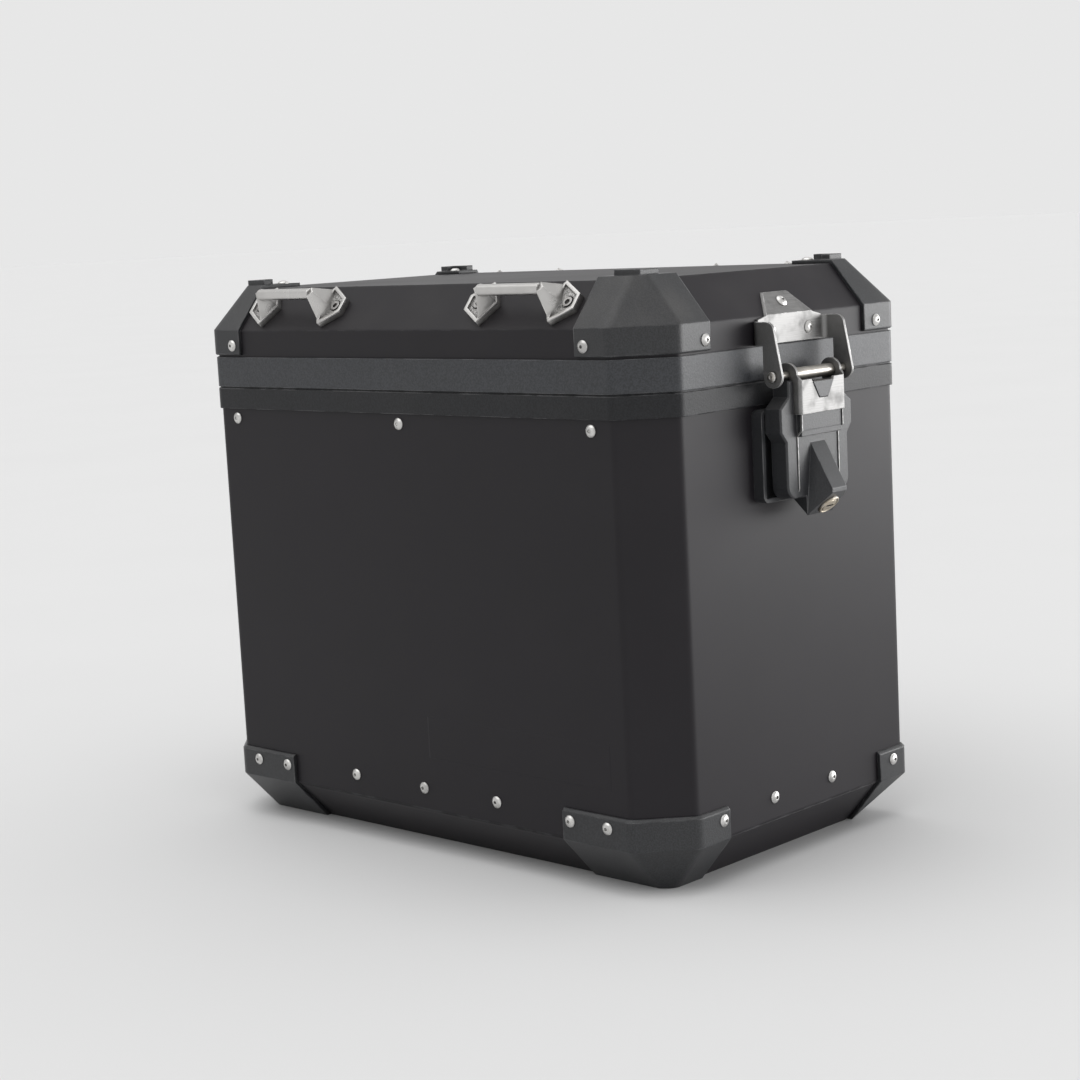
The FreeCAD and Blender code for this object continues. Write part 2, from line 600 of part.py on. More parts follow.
def lashing_eye(name):
    """A cast eye: two kite-shaped feet with a ridge each, and a round bar between them."""
    body = new_body(name)
    for hand, sign in (("left", "-"), ("right", "")):
        kite = [
            (sign + "eye_foot_inner", "0"),
            (sign + "eye_foot_knee", "-eye_foot_half"),
            (sign + "eye_foot_outer", "-eye_foot_nose"),
            (sign + "eye_foot_outer", "eye_foot_nose"),
            (sign + "eye_foot_knee", "eye_foot_half"),
        ]
        foot = outline(body, "%s_%s_foot" % (name, hand), "XY_Plane", kite)
        pad(body, "%s_%s_plate" % (name, hand), foot, "eye_foot_thick")
        foot_run = "(eye_foot_outer - eye_foot_knee)"
        foot_lean = "((eye_foot_half - eye_foot_nose) / %s)" % foot_run
        knee_half = "(eye_foot_half - eye_border * sqrt(1 + pow(%s; 2)))" % foot_lean
        nose_half = "(%s - (%s - eye_border) * %s)" % (knee_half, foot_run, foot_lean)
        sunk = outline(
            body,
            "%s_%s_sunk" % (name, hand),
            "XY_Plane",
            [
                (sign + "eye_foot_knee", "-" + knee_half),
                (sign + "(eye_foot_outer - eye_border)", "-" + nose_half),
                (sign + "(eye_foot_outer - eye_border)", nose_half),
                (sign + "eye_foot_knee", knee_half),
            ],
            "eye_foot_thick",
        )
        pocket(body, "%s_%s_pocket" % (name, hand), sunk, "eye_pocket")
        ridge_foot = outline(
            body,
            "%s_%s_ridge_foot" % (name, hand),
            "XY_Plane",
            [
                (sign + "eye_foot_inner", "0"),
                (sign + "eye_foot_knee", "-eye_foot_half"),
                (sign + "(eye_foot_knee + eye_bar_radius)", "0"),
                (sign + "eye_foot_knee", "eye_foot_half"),
            ],
        )
        ridge_top = outline(
            body,
            "%s_%s_ridge_top" % (name, hand),
            "XY_Plane",
            [
                (sign + "(eye_bar_half - eye_bar_radius)", "0"),
                (sign + "eye_bar_half", "-eye_bar_radius"),
                (sign + "(eye_bar_half + eye_bar_radius)", "0"),
                (sign + "eye_bar_half", "eye_bar_radius"),
            ],
            "eye_bar_height + eye_bar_radius / 2",
        )
        doc.recompute()
        ridge = body.newObject("PartDesign::AdditiveLoft", "%s_%s_ridge" % (name, hand))
        ridge.Profile = ridge_foot
        ridge.Sections = [ridge_top]
        ridge.Ruled = True
        doc.recompute()
    bar_end = ("0", "eye_bar_height", "eye_bar_radius", "-eye_bar_half")
    bar = ring_sketch(body, name + "_bar_end", "YZ_Plane", *bar_end)
    pad(body, name + "_bar", bar, "2 * eye_bar_half")
    for hand, sign in (("left", "-"), ("right", "")):
        recess = ring_sketch(
            body,
            "%s_%s_recess" % (name, hand),
            "XY_Plane",
            sign + "eye_screw_place",
            "0",
            "eye_screw_radius",
            "eye_foot_thick",
        )
        pocket(body, "%s_%s_screw" % (name, hand), recess, "eye_screw_depth")
    return body


# Lashing eyes on the lid's long slopes, square to the slope.
for end, way in (("front", "-"), ("rear", "")):
    for side, hand, turn_axis in (("outer", "-", Vector(1, 0, 0)), ("inner", "", Vector(-1, 0, 0))):
        name = "eye_%s_%s" % (end, side)
        run = "slope_run_" + side
        tilt = "atan(slope_height / %s)" % run
        eye = lashing_eye(name + "_casting")
        eye.Placement = Placement(Vector(0, 0, 0), Rotation(turn_axis, value(tilt)))
        eye.setExpression("Placement.Rotation.Angle", bound(tilt))
        eye.setExpression("Placement.Base.x", bound("%s(%s - eye_inset)" % (way, HALF_LONG)))
        eye.setExpression("Placement.Base.y", bound("%s(%s - %s / 2)" % (hand, HALF_WIDE, run)))
        eye.setExpression("Placement.Base.z", bound("%s + slope_height / 2" % BEND_LEVEL))
        doc.recompute()
        piece(eye, name)


# Latches. Each is drawn at the rear end about its own middle and turned round for the front.
def pin_hole(name):
    """Room for the pin through whatever turns on it."""
    start = (PIN_X, "-case_width", PIN_Z)
    return rod(name, "pin_radius + pin_clear", "2 * case_width", start, Vector(0, 1, 0))


def prism(name, role, points, low, high):
    """An outline drawn out between two levels along the normal of its plane."""
    body = new_body(name)
    sketch = outline(body, name + "_outline", role, points, low)
    pad(body, name + "_pad", sketch, "(%s) - (%s)" % (high, low))
    return body


def lid_bracket(name, run):
    """Folded steel: a plate on the skirt, a tongue on the slope that leans in by run, and two ears."""
    sheet_x = HALF_LONG
    plate_foot = "(%s + bracket_gap)" % LID_RIM_TOP
    tongue_in = "(tongue_rise * %s / slope_height)" % run
    face_shift = "(bracket_thick * %s / slope_height)" % slope_length(run)
    bend_up = "(bracket_thick * (%s - slope_height) / %s)" % (slope_length(run), run)
    strip_points = [
        (sheet_x, plate_foot),
        ("%s + bracket_thick" % sheet_x, plate_foot),
        ("%s + bracket_thick" % sheet_x, "%s + %s" % (BEND_LEVEL, bend_up)),
        ("%s - %s + %s" % (sheet_x, tongue_in, face_shift), "%s + tongue_rise" % BEND_LEVEL),
        ("%s - %s" % (sheet_x, tongue_in), "%s + tongue_rise" % BEND_LEVEL),
        (sheet_x, BEND_LEVEL),
    ]
    strip = prism(name + "_strip", "XZ_Plane", strip_points, "-bracket_half", "bracket_half")
    flat_half = "(bracket_half - bracket_bend)"
    face_points = [
        ("-" + flat_half, plate_foot),
        (flat_half, plate_foot),
        (flat_half, "%s - bracket_thick" % BEND_LEVEL),
        ("tongue_root", BEND_LEVEL),
        ("tongue_tip", "%s + tongue_rise" % BEND_LEVEL),
        ("-tongue_tip", "%s + tongue_rise" % BEND_LEVEL),
        ("-tongue_root", BEND_LEVEL),
        ("-" + flat_half, "%s - bracket_thick" % BEND_LEVEL),
    ]
    face = prism(name + "_face", "YZ_Plane", face_points, "0", "case_length")
    tip = value("%s + tongue_rise" % BEND_LEVEL)
    rounded(
        face,
        name + "_tip",
        "tongue_round",
        lambda middle, direction: abs(direction.x) > 0.9 and abs(middle.z - tip) < 0.01,
    )
    channel = new_body(name + "_channel")
    open_end = "(%s + case_width)" % PIN_X
    for step, grow, radius in (
        ("outside", "0", "bracket_bend"),
        ("inside", "-bracket_thick", "bracket_bend - bracket_thick"),
    ):
        near, half = "%s - (%s)" % (sheet_x, grow), "(bracket_half + %s)" % grow
        corners = [(near, half), (near, "-" + half), (open_end, "-" + half), (open_end, half)]
        ear_foot, height = "%s - ear_radius" % PIN_Z, "ear_radius + ear_rise"
        sketch = rounded_outline(channel, "%s_%s" % (name, step), corners, radius, ear_foot)
        if step == "outside":
            pad(channel, name + "_bent", sketch, height)
        else:
            pocket(channel, name + "_open", sketch, height, forwards=True)
    side_points = [
        (sheet_x, plate_foot),
        (sheet_x, "%s - bracket_thick" % BEND_LEVEL),
        ("%s - ear_radius" % PIN_X, "%s + ear_rise" % PIN_Z),
        ("%s + ear_top_reach" % PIN_X, "%s + ear_rise" % PIN_Z),
        ("%s + ear_radius" % PIN_X, PIN_Z),
        ("%s + ear_radius" % PIN_X, "%s - ear_radius" % PIN_Z),
        ("%s - ear_radius" % PIN_X, "%s - ear_radius" % PIN_Z),
        ("%s - ear_radius" % PIN_X, plate_foot),
    ]
    side = prism(name + "_side", "XZ_Plane", side_points, "-case_width", "case_width")
    low = value("%s - ear_radius" % PIN_Z)
    rounded(
        side,
        name + "_ends",
        "ear_round",
        lambda middle, direction: abs(direction.y) > 0.9 and abs(middle.z - low) < 0.01,
    )
    high = value("%s + ear_rise" % PIN_Z)
    front = value("%s + ear_top_reach" % PIN_X)
    rounded(
        side,
        name + "_crowns",
        "ear_crown",
        lambda middle, direction: abs(direction.y) > 0.9
        and abs(middle.z - high) < 0.01
        and abs(middle.x - front) < 0.01,
    )
    plate = common(name + "_plate", strip, face)
    ears = common(name + "_ears", channel, side)
    whole = fused(name + "_whole", [plate, ears])
    return cut(name + "_steel", whole, pin_hole(name + "_hole"))


def hook_channel(name):
    """Folded steel channel: a notched front plate and two side cheeks that end in lugs on the pin."""
    cheek_points = [
        ("%s + hook_front" % PIN_X, "%s - hook_drop" % PIN_Z),
        ("%s + hook_front" % PIN_X, "%s - hook_plate_drop" % PIN_Z),
        ("%s + hook_lug_radius" % PIN_X, PIN_Z),
        ("%s + hook_lug_radius" % PIN_X, "%s + hook_lug_radius" % PIN_Z),
        ("%s - hook_lug_radius" % PIN_X, "%s + hook_lug_radius" % PIN_Z),
        ("%s - hook_lug_radius" % PIN_X, "%s - hook_plate_drop" % PIN_Z),
        ("%s + hook_front - 3 * hook_thick" % PIN_X, "%s - hook_drop" % PIN_Z),
    ]
    cheeks = prism(name + "_cheeks", "XZ_Plane", cheek_points, "-hook_half", "hook_half")
    high = value("%s + hook_lug_radius" % PIN_Z)
    rounded(
        cheeks,
        name + "_lugs",
        "hook_lug_round",
        lambda middle, direction: abs(direction.y) > 0.9 and abs(middle.z - high) < 0.01,
    )
    front = value("%s + hook_front" % PIN_X)
    rounded(
        cheeks,
        name + "_bends",
        "hook_bend",
        lambda middle, direction: abs(direction.z) > 0.9 and abs(middle.x - front) < 0.01,
    )
    between = block(
        name + "_between",
        ("%s - case_width" % PIN_X, "-(hook_half - hook_thick)", "%s - case_width" % PIN_Z),
        ("%s + hook_front - hook_thick" % PIN_X, "hook_half - hook_thick", "%s + case_width" % PIN_Z),
    )
    over_plate = block(
        name + "_over_plate",
        (PIN_X, "-(hook_half - hook_thick)", "%s - hook_plate_drop" % PIN_Z),
        ("%s + case_width" % PIN_X, "hook_half - hook_thick", "%s + case_width" % PIN_Z),
    )
    notch = prism(
        name + "_notch",
        "YZ_Plane",
        [
            ("-notch_root", "%s - hook_plate_drop + overshoot" % PIN_Z),
            ("-notch_root", "%s - hook_plate_drop" % PIN_Z),
            ("-notch_tip", "%s - hook_plate_drop - notch_depth" % PIN_Z),
            ("notch_tip", "%s - hook_plate_drop - notch_depth" % PIN_Z),
            ("notch_root", "%s - hook_plate_drop" % PIN_Z),
            ("notch_root", "%s - hook_plate_drop + overshoot" % PIN_Z),
        ],
        PIN_X,
        "2 * case_length",
    )
    cuts = fused(name + "_cuts", [between, over_plate, notch, pin_hole(name + "_hole")])
    return cut(name + "_steel", cheeks, cuts)


NOSE_SLOPE_X = "(nose_reach - lever_front)"
NOSE_SLOPE_Z = "(nose_foot - nose_tip_foot)"


def key_axis():
    """Direction in which the lock cylinder faces, square to the housing's underside."""
    return Vector(value(NOSE_SLOPE_Z), 0, -value(NOSE_SLOPE_X)).normalize()


def key_rod(name, radius, start, length):
    """A cylinder on the lock's axis that starts start inside the underside of the housing."""
    way = key_axis()
    tilt = "sqrt(pow(%s; 2) + pow(%s; 2))" % (NOSE_SLOPE_X, NOSE_SLOPE_Z)
    along = "(key_inset * %s - (%s) * %s) / %s" % (NOSE_SLOPE_X, start, NOSE_SLOPE_Z, tilt)
    rise = "(key_inset * %s + (%s) * %s) / %s" % (NOSE_SLOPE_Z, start, NOSE_SLOPE_X, tilt)
    base = ("%s + lever_front + %s" % (PIN_X, along), "0", "%s - nose_foot + %s" % (PIN_Z, rise))
    return rod(name, radius, length, base, way)


def lever(name):
    """Moulded lever: cheeks beside the channel, wide shoulders, a grip and the lock housing."""
    half = [
        ("lever_neck", "hook_plate_drop"),
        ("lever_neck", "neck_drop"),
        ("lever_shoulder", "shoulder_top"),
        ("lever_shoulder", "shoulder_foot"),
        ("lever_grip", "grip_top"),
        ("lever_grip", "grip_foot"),
    ]
    points = [(wide, "%s - %s" % (PIN_Z, drop)) for wide, drop in half]
    points += [("-" + wide, "%s - %s" % (PIN_Z, drop)) for wide, drop in reversed(half)]
    slab = prism(
        name + "_slab", "YZ_Plane", points, "%s - lever_back" % PIN_X, "%s + lever_front" % PIN_X
    )
    foot = value("%s - grip_foot" % PIN_Z)
    rounded(
        slab,
        name + "_corners",
        "grip_round",
        lambda middle, direction: abs(direction.x) > 0.9 and abs(middle.z - foot) < 0.01,
    )
    front = value("%s + lever_front" % PIN_X)
    bevelled(slab, name + "_bevel", "lever_bevel", lambda middle: abs(middle.x - front) < 0.01)
    room_half = "(hook_half + pin_clear)"
    room_foot = "%s - hook_drop - pin_clear" % PIN_Z
    channel_room = block(
        name + "_channel_room",
        ("%s - lever_back - overshoot" % PIN_X, "-" + room_half, room_foot),
        ("%s + hook_front + overshoot" % PIN_X, room_half, "%s + case_width" % PIN_Z),
    )
    open_slab = cut(name + "_open_slab", slab, channel_room)
    block_front = "%s + block_front" % PIN_X
    raised = prism(
        name + "_raised",
        "XZ_Plane",
        [
            (PIN_X, "%s - block_foot" % PIN_Z),
            ("%s + lever_front" % PIN_X, "%s - block_foot" % PIN_Z),
            (block_front, "%s - block_foot + block_slant" % PIN_Z),
            (block_front, room_foot),
            (PIN_X, room_foot),
        ],
        "-block_half",
        "block_half",
    )
    tongue = block(
        name + "_tongue",
        ("%s + pin_radius" % PIN_X, "-block_half", "%s - block_foot" % PIN_Z),
        (
            "%s + hook_front - hook_thick - pin_clear" % PIN_X,
            "block_half",
            "%s - sleeve_radius - sleeve_gap" % PIN_Z,
        ),
    )
    notch_lean = "((notch_root - notch_tip) / notch_depth)"
    wedge_drop = "(sleeve_radius + sleeve_gap)"
    wedge_half = "(notch_root - (%s - hook_plate_drop) * %s - notch_play)" % (wedge_drop, notch_lean)
    wedge_top = "%s - %s" % (PIN_Z, wedge_drop)
    wedge = prism(
        name + "_wedge",
        "YZ_Plane",
        [
            ("-%s" % wedge_half, wedge_top),
            ("-(notch_tip - notch_play)", "%s - hook_plate_drop - notch_depth + notch_play" % PIN_Z),
            ("notch_tip - notch_play", "%s - hook_plate_drop - notch_depth + notch_play" % PIN_Z),
            (wedge_half, wedge_top),
        ],
        "%s + pin_radius" % PIN_X,
        "%s + hook_front + wedge_proud" % PIN_X,
    )
    nose = new_body(name + "_nose")
    root = outline(
        nose,
        name + "_nose_root",
        "YZ_Plane",
        [
            ("-nose_half", "%s - nose_top" % PIN_Z),
            ("-nose_root", "%s - nose_foot" % PIN_Z),
            ("nose_root", "%s - nose_foot" % PIN_Z),
            ("nose_half", "%s - nose_top" % PIN_Z),
        ],
        "%s + lever_front" % PIN_X,
    )
    tip = outline(
        nose,
        name + "_nose_tip",
        "YZ_Plane",
        [
            ("-nose_half", "%s - nose_tip_top" % PIN_Z),
            ("-nose_half", "%s - nose_tip_foot" % PIN_Z),
            ("nose_half", "%s - nose_tip_foot" % PIN_Z),
            ("nose_half", "%s - nose_tip_top" % PIN_Z),
        ],
        "%s + nose_reach" % PIN_X,
    )
    doc.recompute()
    loft = nose.newObject("PartDesign::AdditiveLoft", name + "_nose_loft")
    loft.Profile = root
    loft.Sections = [tip]
    loft.Ruled = True
    doc.recompute()
    backing = prism(
        name + "_nose_backing",
        "XZ_Plane",
        [
            ("%s - lever_back" % PIN_X, "%s - grip_foot" % PIN_Z),
            ("%s + lever_front" % PIN_X, "%s - nose_foot" % PIN_Z),
            ("%s + lever_front" % PIN_X, "%s - grip_top" % PIN_Z),
            ("%s - lever_back" % PIN_X, "%s - grip_top" % PIN_Z),
        ],
        "-nose_root",
        "nose_root",
    )
    solid = fused(name + "_solid", [open_slab, raised, tongue, wedge, nose, backing])
    key_hole = key_rod(name + "_key_hole", "key_radius + pin_clear", "key_length", "2 * key_length")
    return cut(name + "_moulding", solid, key_hole)


def catch_housing(name):
    """Moulded housing on the body that the lever closes onto: a tray open to the front."""
    back, front = HALF_LONG, "%s - lever_back - seat_gap" % PIN_X
    tray = prism(
        name + "_tray",
        "YZ_Plane",
        [
            ("-catch_half", "%s - catch_top" % PIN_Z),
            ("-catch_half", "%s - catch_foot" % PIN_Z),
            ("catch_half", "%s - catch_foot" % PIN_Z),
            ("catch_half", "%s - catch_top" % PIN_Z),
        ],
        back,
        front,
    )
    rounded(tray, name + "_corners", "catch_round", lambda middle, direction: abs(direction.x) > 0.9)
    recess = block(
        name + "_recess",
        ("%s + catch_wall" % back, "-(catch_half - catch_wall)", "%s - catch_foot + catch_wall" % PIN_Z),
        ("%s + overshoot" % front, "catch_half - catch_wall", "%s - catch_top - catch_wall" % PIN_Z),
    )
    return cut(name + "_moulding", tray, recess)


def latch_pin(name):
    reach = "bracket_half + pin_overhang"
    return rod(name, "pin_radius", "2 * (%s)" % reach, (PIN_X, "-(%s)" % reach, PIN_Z), Vector(0, 1, 0))


def spacer_sleeve(name):
    """Tube on the pin between the lugs."""
    half = "hook_half - hook_thick - pin_clear"
    start = (PIN_X, "-(%s)" % half, PIN_Z)
    tube = rod(name + "_tube", "sleeve_radius", "2 * (%s)" % half, start, Vector(0, 1, 0))
    return cut(name, tube, pin_hole(name + "_bore"))


def lock_cylinder(name):
    return key_rod(name, "key_radius", "key_length", "key_length + key_proud")


def at_end(drawn, label, turn):
    """A latch piece set at its end of the case."""
    placed = doc.addObject("Part::Compound", label)
    placed.Links = [drawn]
    placed.Placement = Placement(Vector(0, 0, 0), Rotation(Vector(0, 0, 1), turn))
    placed.setExpression("Placement.Base.y", bound("latch_place"))
    doc.recompute()
    piece(placed, label)


for end, turn in (("rear", 0), ("front", 180)):
    at_end(lid_bracket("bracket_%s_drawn" % end, "slope_run_" + end), "lid_bracket_" + end, turn)
    for maker, name in (
        (latch_pin, "latch_pin"),
        (hook_channel, "latch_hook"),
        (spacer_sleeve, "latch_sleeve"),
        (lever, "latch_lever"),
        (lock_cylinder, "latch_lock"),
        (catch_housing, "latch_catch"),
    ):
        at_end(maker("%s_%s_drawn" % (name, end)), "%s_%s" % (name, end), turn)


# Claws and saddle on the inner side, for a carrier of round tube.
def hanging_claw(name, middle):
    """A moulded claw that drops over the upper carrier tube."""
    outer = "(%s + tube_radius + tube_clear + claw_lip)" % TUBE_Y
    crown = "%s + tube_radius + tube_clear + claw_crown" % CLAW_LEVEL
    profile = [
        (HALF_WIDE, CLAW_LEVEL + " - claw_plate_drop"),
        ("%s + claw_plate" % HALF_WIDE, CLAW_LEVEL + " - claw_plate_drop"),
        ("%s + claw_plate" % HALF_WIDE, CLAW_LEVEL + " - claw_lip_drop"),
        (outer, CLAW_LEVEL + " - claw_lip_drop"),
        (outer, CLAW_LEVEL + " + tube_radius"),
        ("%s - claw_lip" % outer, crown),
        (HALF_WIDE, crown),
    ]
    ends = ("%s - claw_length / 2" % middle, "%s + claw_length / 2" % middle)
    solid = prism(name + "_solid", "YZ_Plane", profile, *ends)
    seat = rod(
        name + "_seat",
        "tube_radius + tube_clear",
        "2 * case_length",
        ("-case_length", TUBE_Y, CLAW_LEVEL),
        Vector(1, 0, 0),
    )
    throat = block(
        name + "_throat",
        ("-case_length", "%s - tube_radius - tube_clear" % TUBE_Y, CLAW_LEVEL + " - 2 * tube_radius"),
        ("case_length", "%s + tube_radius + tube_clear" % TUBE_Y, CLAW_LEVEL),
    )
    return cut(name, solid, fused(name + "_room", [seat, throat]))


CLAW_X = "(%s - claw_inset)" % HALF_LONG
piece(hanging_claw("claw_front_moulding", "-" + CLAW_X), "claw_front")
piece(hanging_claw("claw_rear_moulding", CLAW_X), "claw_rear")

saddle_block = prism(
    "saddle_block",
    "YZ_Plane",
    [
        (HALF_WIDE, "saddle_level - saddle_half"),
        (TUBE_Y, "saddle_level - tube_radius - claw_lip"),
        (TUBE_Y, "saddle_level + tube_radius + claw_lip"),
        (HALF_WIDE, "saddle_level + saddle_half"),
    ],
    "-saddle_length / 2",
    "saddle_length / 2",
)
saddle_seat = rod(
    "saddle_seat",
    "tube_radius + tube_clear",
    "2 * case_length",
    ("-case_length", TUBE_Y, "saddle_level"),
    Vector(1, 0, 0),
)
piece(cut("saddle_moulding", saddle_block, saddle_seat), "saddle_lower")

doc.recompute()
for item in doc.Objects:
    if "Invalid" in item.State or "Error" in item.State:
        raise RuntimeError("%s did not build: %s" % (item.Name, item.State))
for item in PIECES:
    if item.Shape.isNull() or not item.Shape.isValid():
        raise RuntimeError("%s has no valid shape" % item.Label)
for item in PIECES:
    item.Shape.exportStep("parts/%s.step" % item.Label)
    print("%-20s %2d solids %9.0f mm3" % (item.Label, len(item.Shape.Solids), item.Shape.Volume))
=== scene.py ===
import math

import bmesh
import bpy
from mathutils import Euler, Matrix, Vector


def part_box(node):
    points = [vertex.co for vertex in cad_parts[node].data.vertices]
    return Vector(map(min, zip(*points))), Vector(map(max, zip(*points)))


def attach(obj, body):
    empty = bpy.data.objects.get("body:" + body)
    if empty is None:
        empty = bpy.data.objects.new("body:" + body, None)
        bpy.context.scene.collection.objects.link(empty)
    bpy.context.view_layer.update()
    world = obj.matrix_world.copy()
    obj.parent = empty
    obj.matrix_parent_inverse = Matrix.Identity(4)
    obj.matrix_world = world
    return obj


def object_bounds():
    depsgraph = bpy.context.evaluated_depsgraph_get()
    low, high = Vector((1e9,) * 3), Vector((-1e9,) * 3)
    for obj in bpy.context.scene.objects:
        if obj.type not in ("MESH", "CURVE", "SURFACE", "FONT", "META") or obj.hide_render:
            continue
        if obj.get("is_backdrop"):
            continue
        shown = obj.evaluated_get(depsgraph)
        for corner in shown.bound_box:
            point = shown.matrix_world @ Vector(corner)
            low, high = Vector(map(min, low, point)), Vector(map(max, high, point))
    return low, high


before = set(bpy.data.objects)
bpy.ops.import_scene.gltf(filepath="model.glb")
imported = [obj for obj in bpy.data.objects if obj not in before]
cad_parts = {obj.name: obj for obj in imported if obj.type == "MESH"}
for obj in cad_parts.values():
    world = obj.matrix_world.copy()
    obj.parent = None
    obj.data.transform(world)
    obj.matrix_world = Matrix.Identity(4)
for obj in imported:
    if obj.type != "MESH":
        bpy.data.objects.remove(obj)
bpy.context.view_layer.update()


# The case and its lid are 1.5 mm aluminium sheet: a folded pan, a wrap bent round the four
# sides, and a lid with four slopes. All of it is powder coated satin black before it is
# riveted, which rounds its folds a little and leaves the rivets bright.

def node(tree, kind, **settings):
    """A node of that kind with its plain settings."""
    made = tree.nodes.new(kind)
    for name, setting in settings.items():
        setattr(made, name, setting)
    return made


def effect(name, inputs, outputs):
    """A shader node group with named number inputs and outputs of the given kinds."""
    tree = bpy.data.node_groups.new(name, "ShaderNodeTree")
    for label, default in inputs.items():
        socket = tree.interface.new_socket(label, in_out="INPUT", socket_type="NodeSocketFloat")
        socket.default_value = default
    for label, kind in outputs.items():
        tree.interface.new_socket(label, in_out="OUTPUT", socket_type=kind)
    return tree, node(tree, "NodeGroupInput"), node(tree, "NodeGroupOutput")


def noise(tree, scale, detail, place=None):
    """Noise over the piece's own place in the case, scale in cycles for each metre."""
    if place is None:
        place = node(tree, "ShaderNodeTexCoord").outputs["Object"]
    made = node(tree, "ShaderNodeTexNoise")
    made.inputs["Detail"].default_value = detail
    if isinstance(scale, (int, float)):
        made.inputs["Scale"].default_value = scale
    else:
        tree.links.new(scale, made.inputs["Scale"])
    tree.links.new(place, made.inputs["Vector"])
    return made.outputs["Fac"]


def remap(tree, source, low=0.0, high=1.0, to_low=0.0, to_high=1.0):
    """A smooth step while source goes from low to high, each bound a number or a socket."""
    made = node(tree, "ShaderNodeMapRange", interpolation_type="SMOOTHSTEP")
    for label, bound in (("From Min", low), ("From Max", high), ("To Min", to_low), ("To Max", to_high)):
        if isinstance(bound, (int, float)):
            made.inputs[label].default_value = bound
        else:
            tree.links.new(bound, made.inputs[label])
    tree.links.new(source, made.inputs["Value"])
    return made.outputs["Result"]


def maths(tree, operation, first, second):
    """One operation on two terms, each a number or a socket."""
    made = node(tree, "ShaderNodeMath", operation=operation)
    for socket, term in zip(made.inputs, (first, second)):
        if isinstance(term, (int, float)):
            socket.default_value = term
        else:
            tree.links.new(term, socket)
    return made.outputs["Value"]


def blend_colour(tree, share, first, second):
    """Mixes two colours, each a tuple or a socket."""
    made = node(tree, "ShaderNodeMix", data_type="RGBA")
    tree.links.new(share, made.inputs["Factor"])
    for socket, colour in ((made.inputs[6], first), (made.inputs[7], second)):
        if isinstance(colour, tuple):
            socket.default_value = (*colour, 1.0)
        else:
            tree.links.new(colour, socket)
    return made.outputs[2]


# a name that ends in _STEP holds the two values between which a smooth step goes from none to all
TONE_STEP = (0.3, 0.7)


def grain_effect():
    """Fine even grain, with a slow change of tone over it."""
    tree, entry, outlet = effect(
        "Surface grain", {"Grain Scale": 1500.0, "Tone Scale": 9.0},
        {"Height": "NodeSocketFloat", "Tone": "NodeSocketFloat"},
    )
    fine = noise(tree, entry.outputs["Grain Scale"], detail=3.0)
    slow = noise(tree, entry.outputs["Tone Scale"], detail=5.0)
    tree.links.new(fine, outlet.inputs["Height"])
    tree.links.new(remap(tree, slow, *TONE_STEP), outlet.inputs["Tone"])
    return tree


# cosine between a face's own normal and the rounded one, on a flat and on a worn edge
FLAT_COSINE = 0.985
EDGE_COSINE = 0.86
RUB_PATCH_STEP = (0.42, 0.62)


def edge_effect():
    """Rounds the light over sharp edges, and marks where handling rubs them bright."""
    tree, entry, outlet = effect(
        "Rubbed edge", {"Edge Radius": 0.001, "Patchiness": 60.0},
        {"Normal": "NodeSocketVector", "Rub": "NodeSocketFloat"},
    )
    soft = node(tree, "ShaderNodeBevel", samples=6)
    tree.links.new(entry.outputs["Edge Radius"], soft.inputs["Radius"])
    flat = node(tree, "ShaderNodeNewGeometry")
    turned = node(tree, "ShaderNodeVectorMath", operation="DOT_PRODUCT")
    tree.links.new(soft.outputs["Normal"], turned.inputs[0])
    tree.links.new(flat.outputs["Normal"], turned.inputs[1])
    edge = remap(tree, turned.outputs["Value"], FLAT_COSINE, EDGE_COSINE)
    patches = remap(tree, noise(tree, entry.outputs["Patchiness"], detail=4.0), *RUB_PATCH_STEP)
    tree.links.new(maths(tree, "MULTIPLY", edge, patches), outlet.inputs["Rub"])
    tree.links.new(soft.outputs["Normal"], outlet.inputs["Normal"])
    return tree


FACING_UP_STEP = (-0.1, 0.95)
DUST_ON_SIDES = 0.12
DUST_PATCH_SCALE = 26.0
DUST_PATCH_STEP = (0.35, 0.85)
SPECK_SCALE = 650.0
SPECK_STEP = (0.7, 0.8)
SPECK_SHARE = 0.6


def dust_effect():
    """Dust on what faces up, thicker in soft patches, with a few single specks."""
    tree, entry, outlet = effect("Road dust", {"Amount": 0.3}, {"Mask": "NodeSocketFloat"})
    places = node(tree, "ShaderNodeTexCoord")
    up = node(tree, "ShaderNodeSeparateXYZ")
    tree.links.new(places.outputs["Normal"], up.inputs["Vector"])
    lying = remap(tree, up.outputs["Z"], *FACING_UP_STEP, to_low=DUST_ON_SIDES)
    place = places.outputs["Object"]
    patches = remap(tree, noise(tree, DUST_PATCH_SCALE, detail=7.0, place=place), *DUST_PATCH_STEP)
    specks = remap(tree, noise(tree, SPECK_SCALE, detail=1.0, place=place), *SPECK_STEP)
    cover = maths(tree, "ADD", patches, maths(tree, "MULTIPLY", specks, SPECK_SHARE))
    amount = maths(tree, "MULTIPLY", maths(tree, "MULTIPLY", lying, cover), entry.outputs["Amount"])
    tree.links.new(amount, outlet.inputs["Mask"])
    return tree


GRAIN = grain_effect()
RUBBED_EDGE = edge_effect()
ROAD_DUST = dust_effect()
DUST_COLOUR = (0.30, 0.28, 0.26)


def place_effect(tree, group, **amounts):
    """An effect in a material, with its own values."""
    made = node(tree, "ShaderNodeGroup", node_tree=group)
    for label, amount in amounts.items():
        made.inputs[label.replace("_", " ")].default_value = amount
    return made


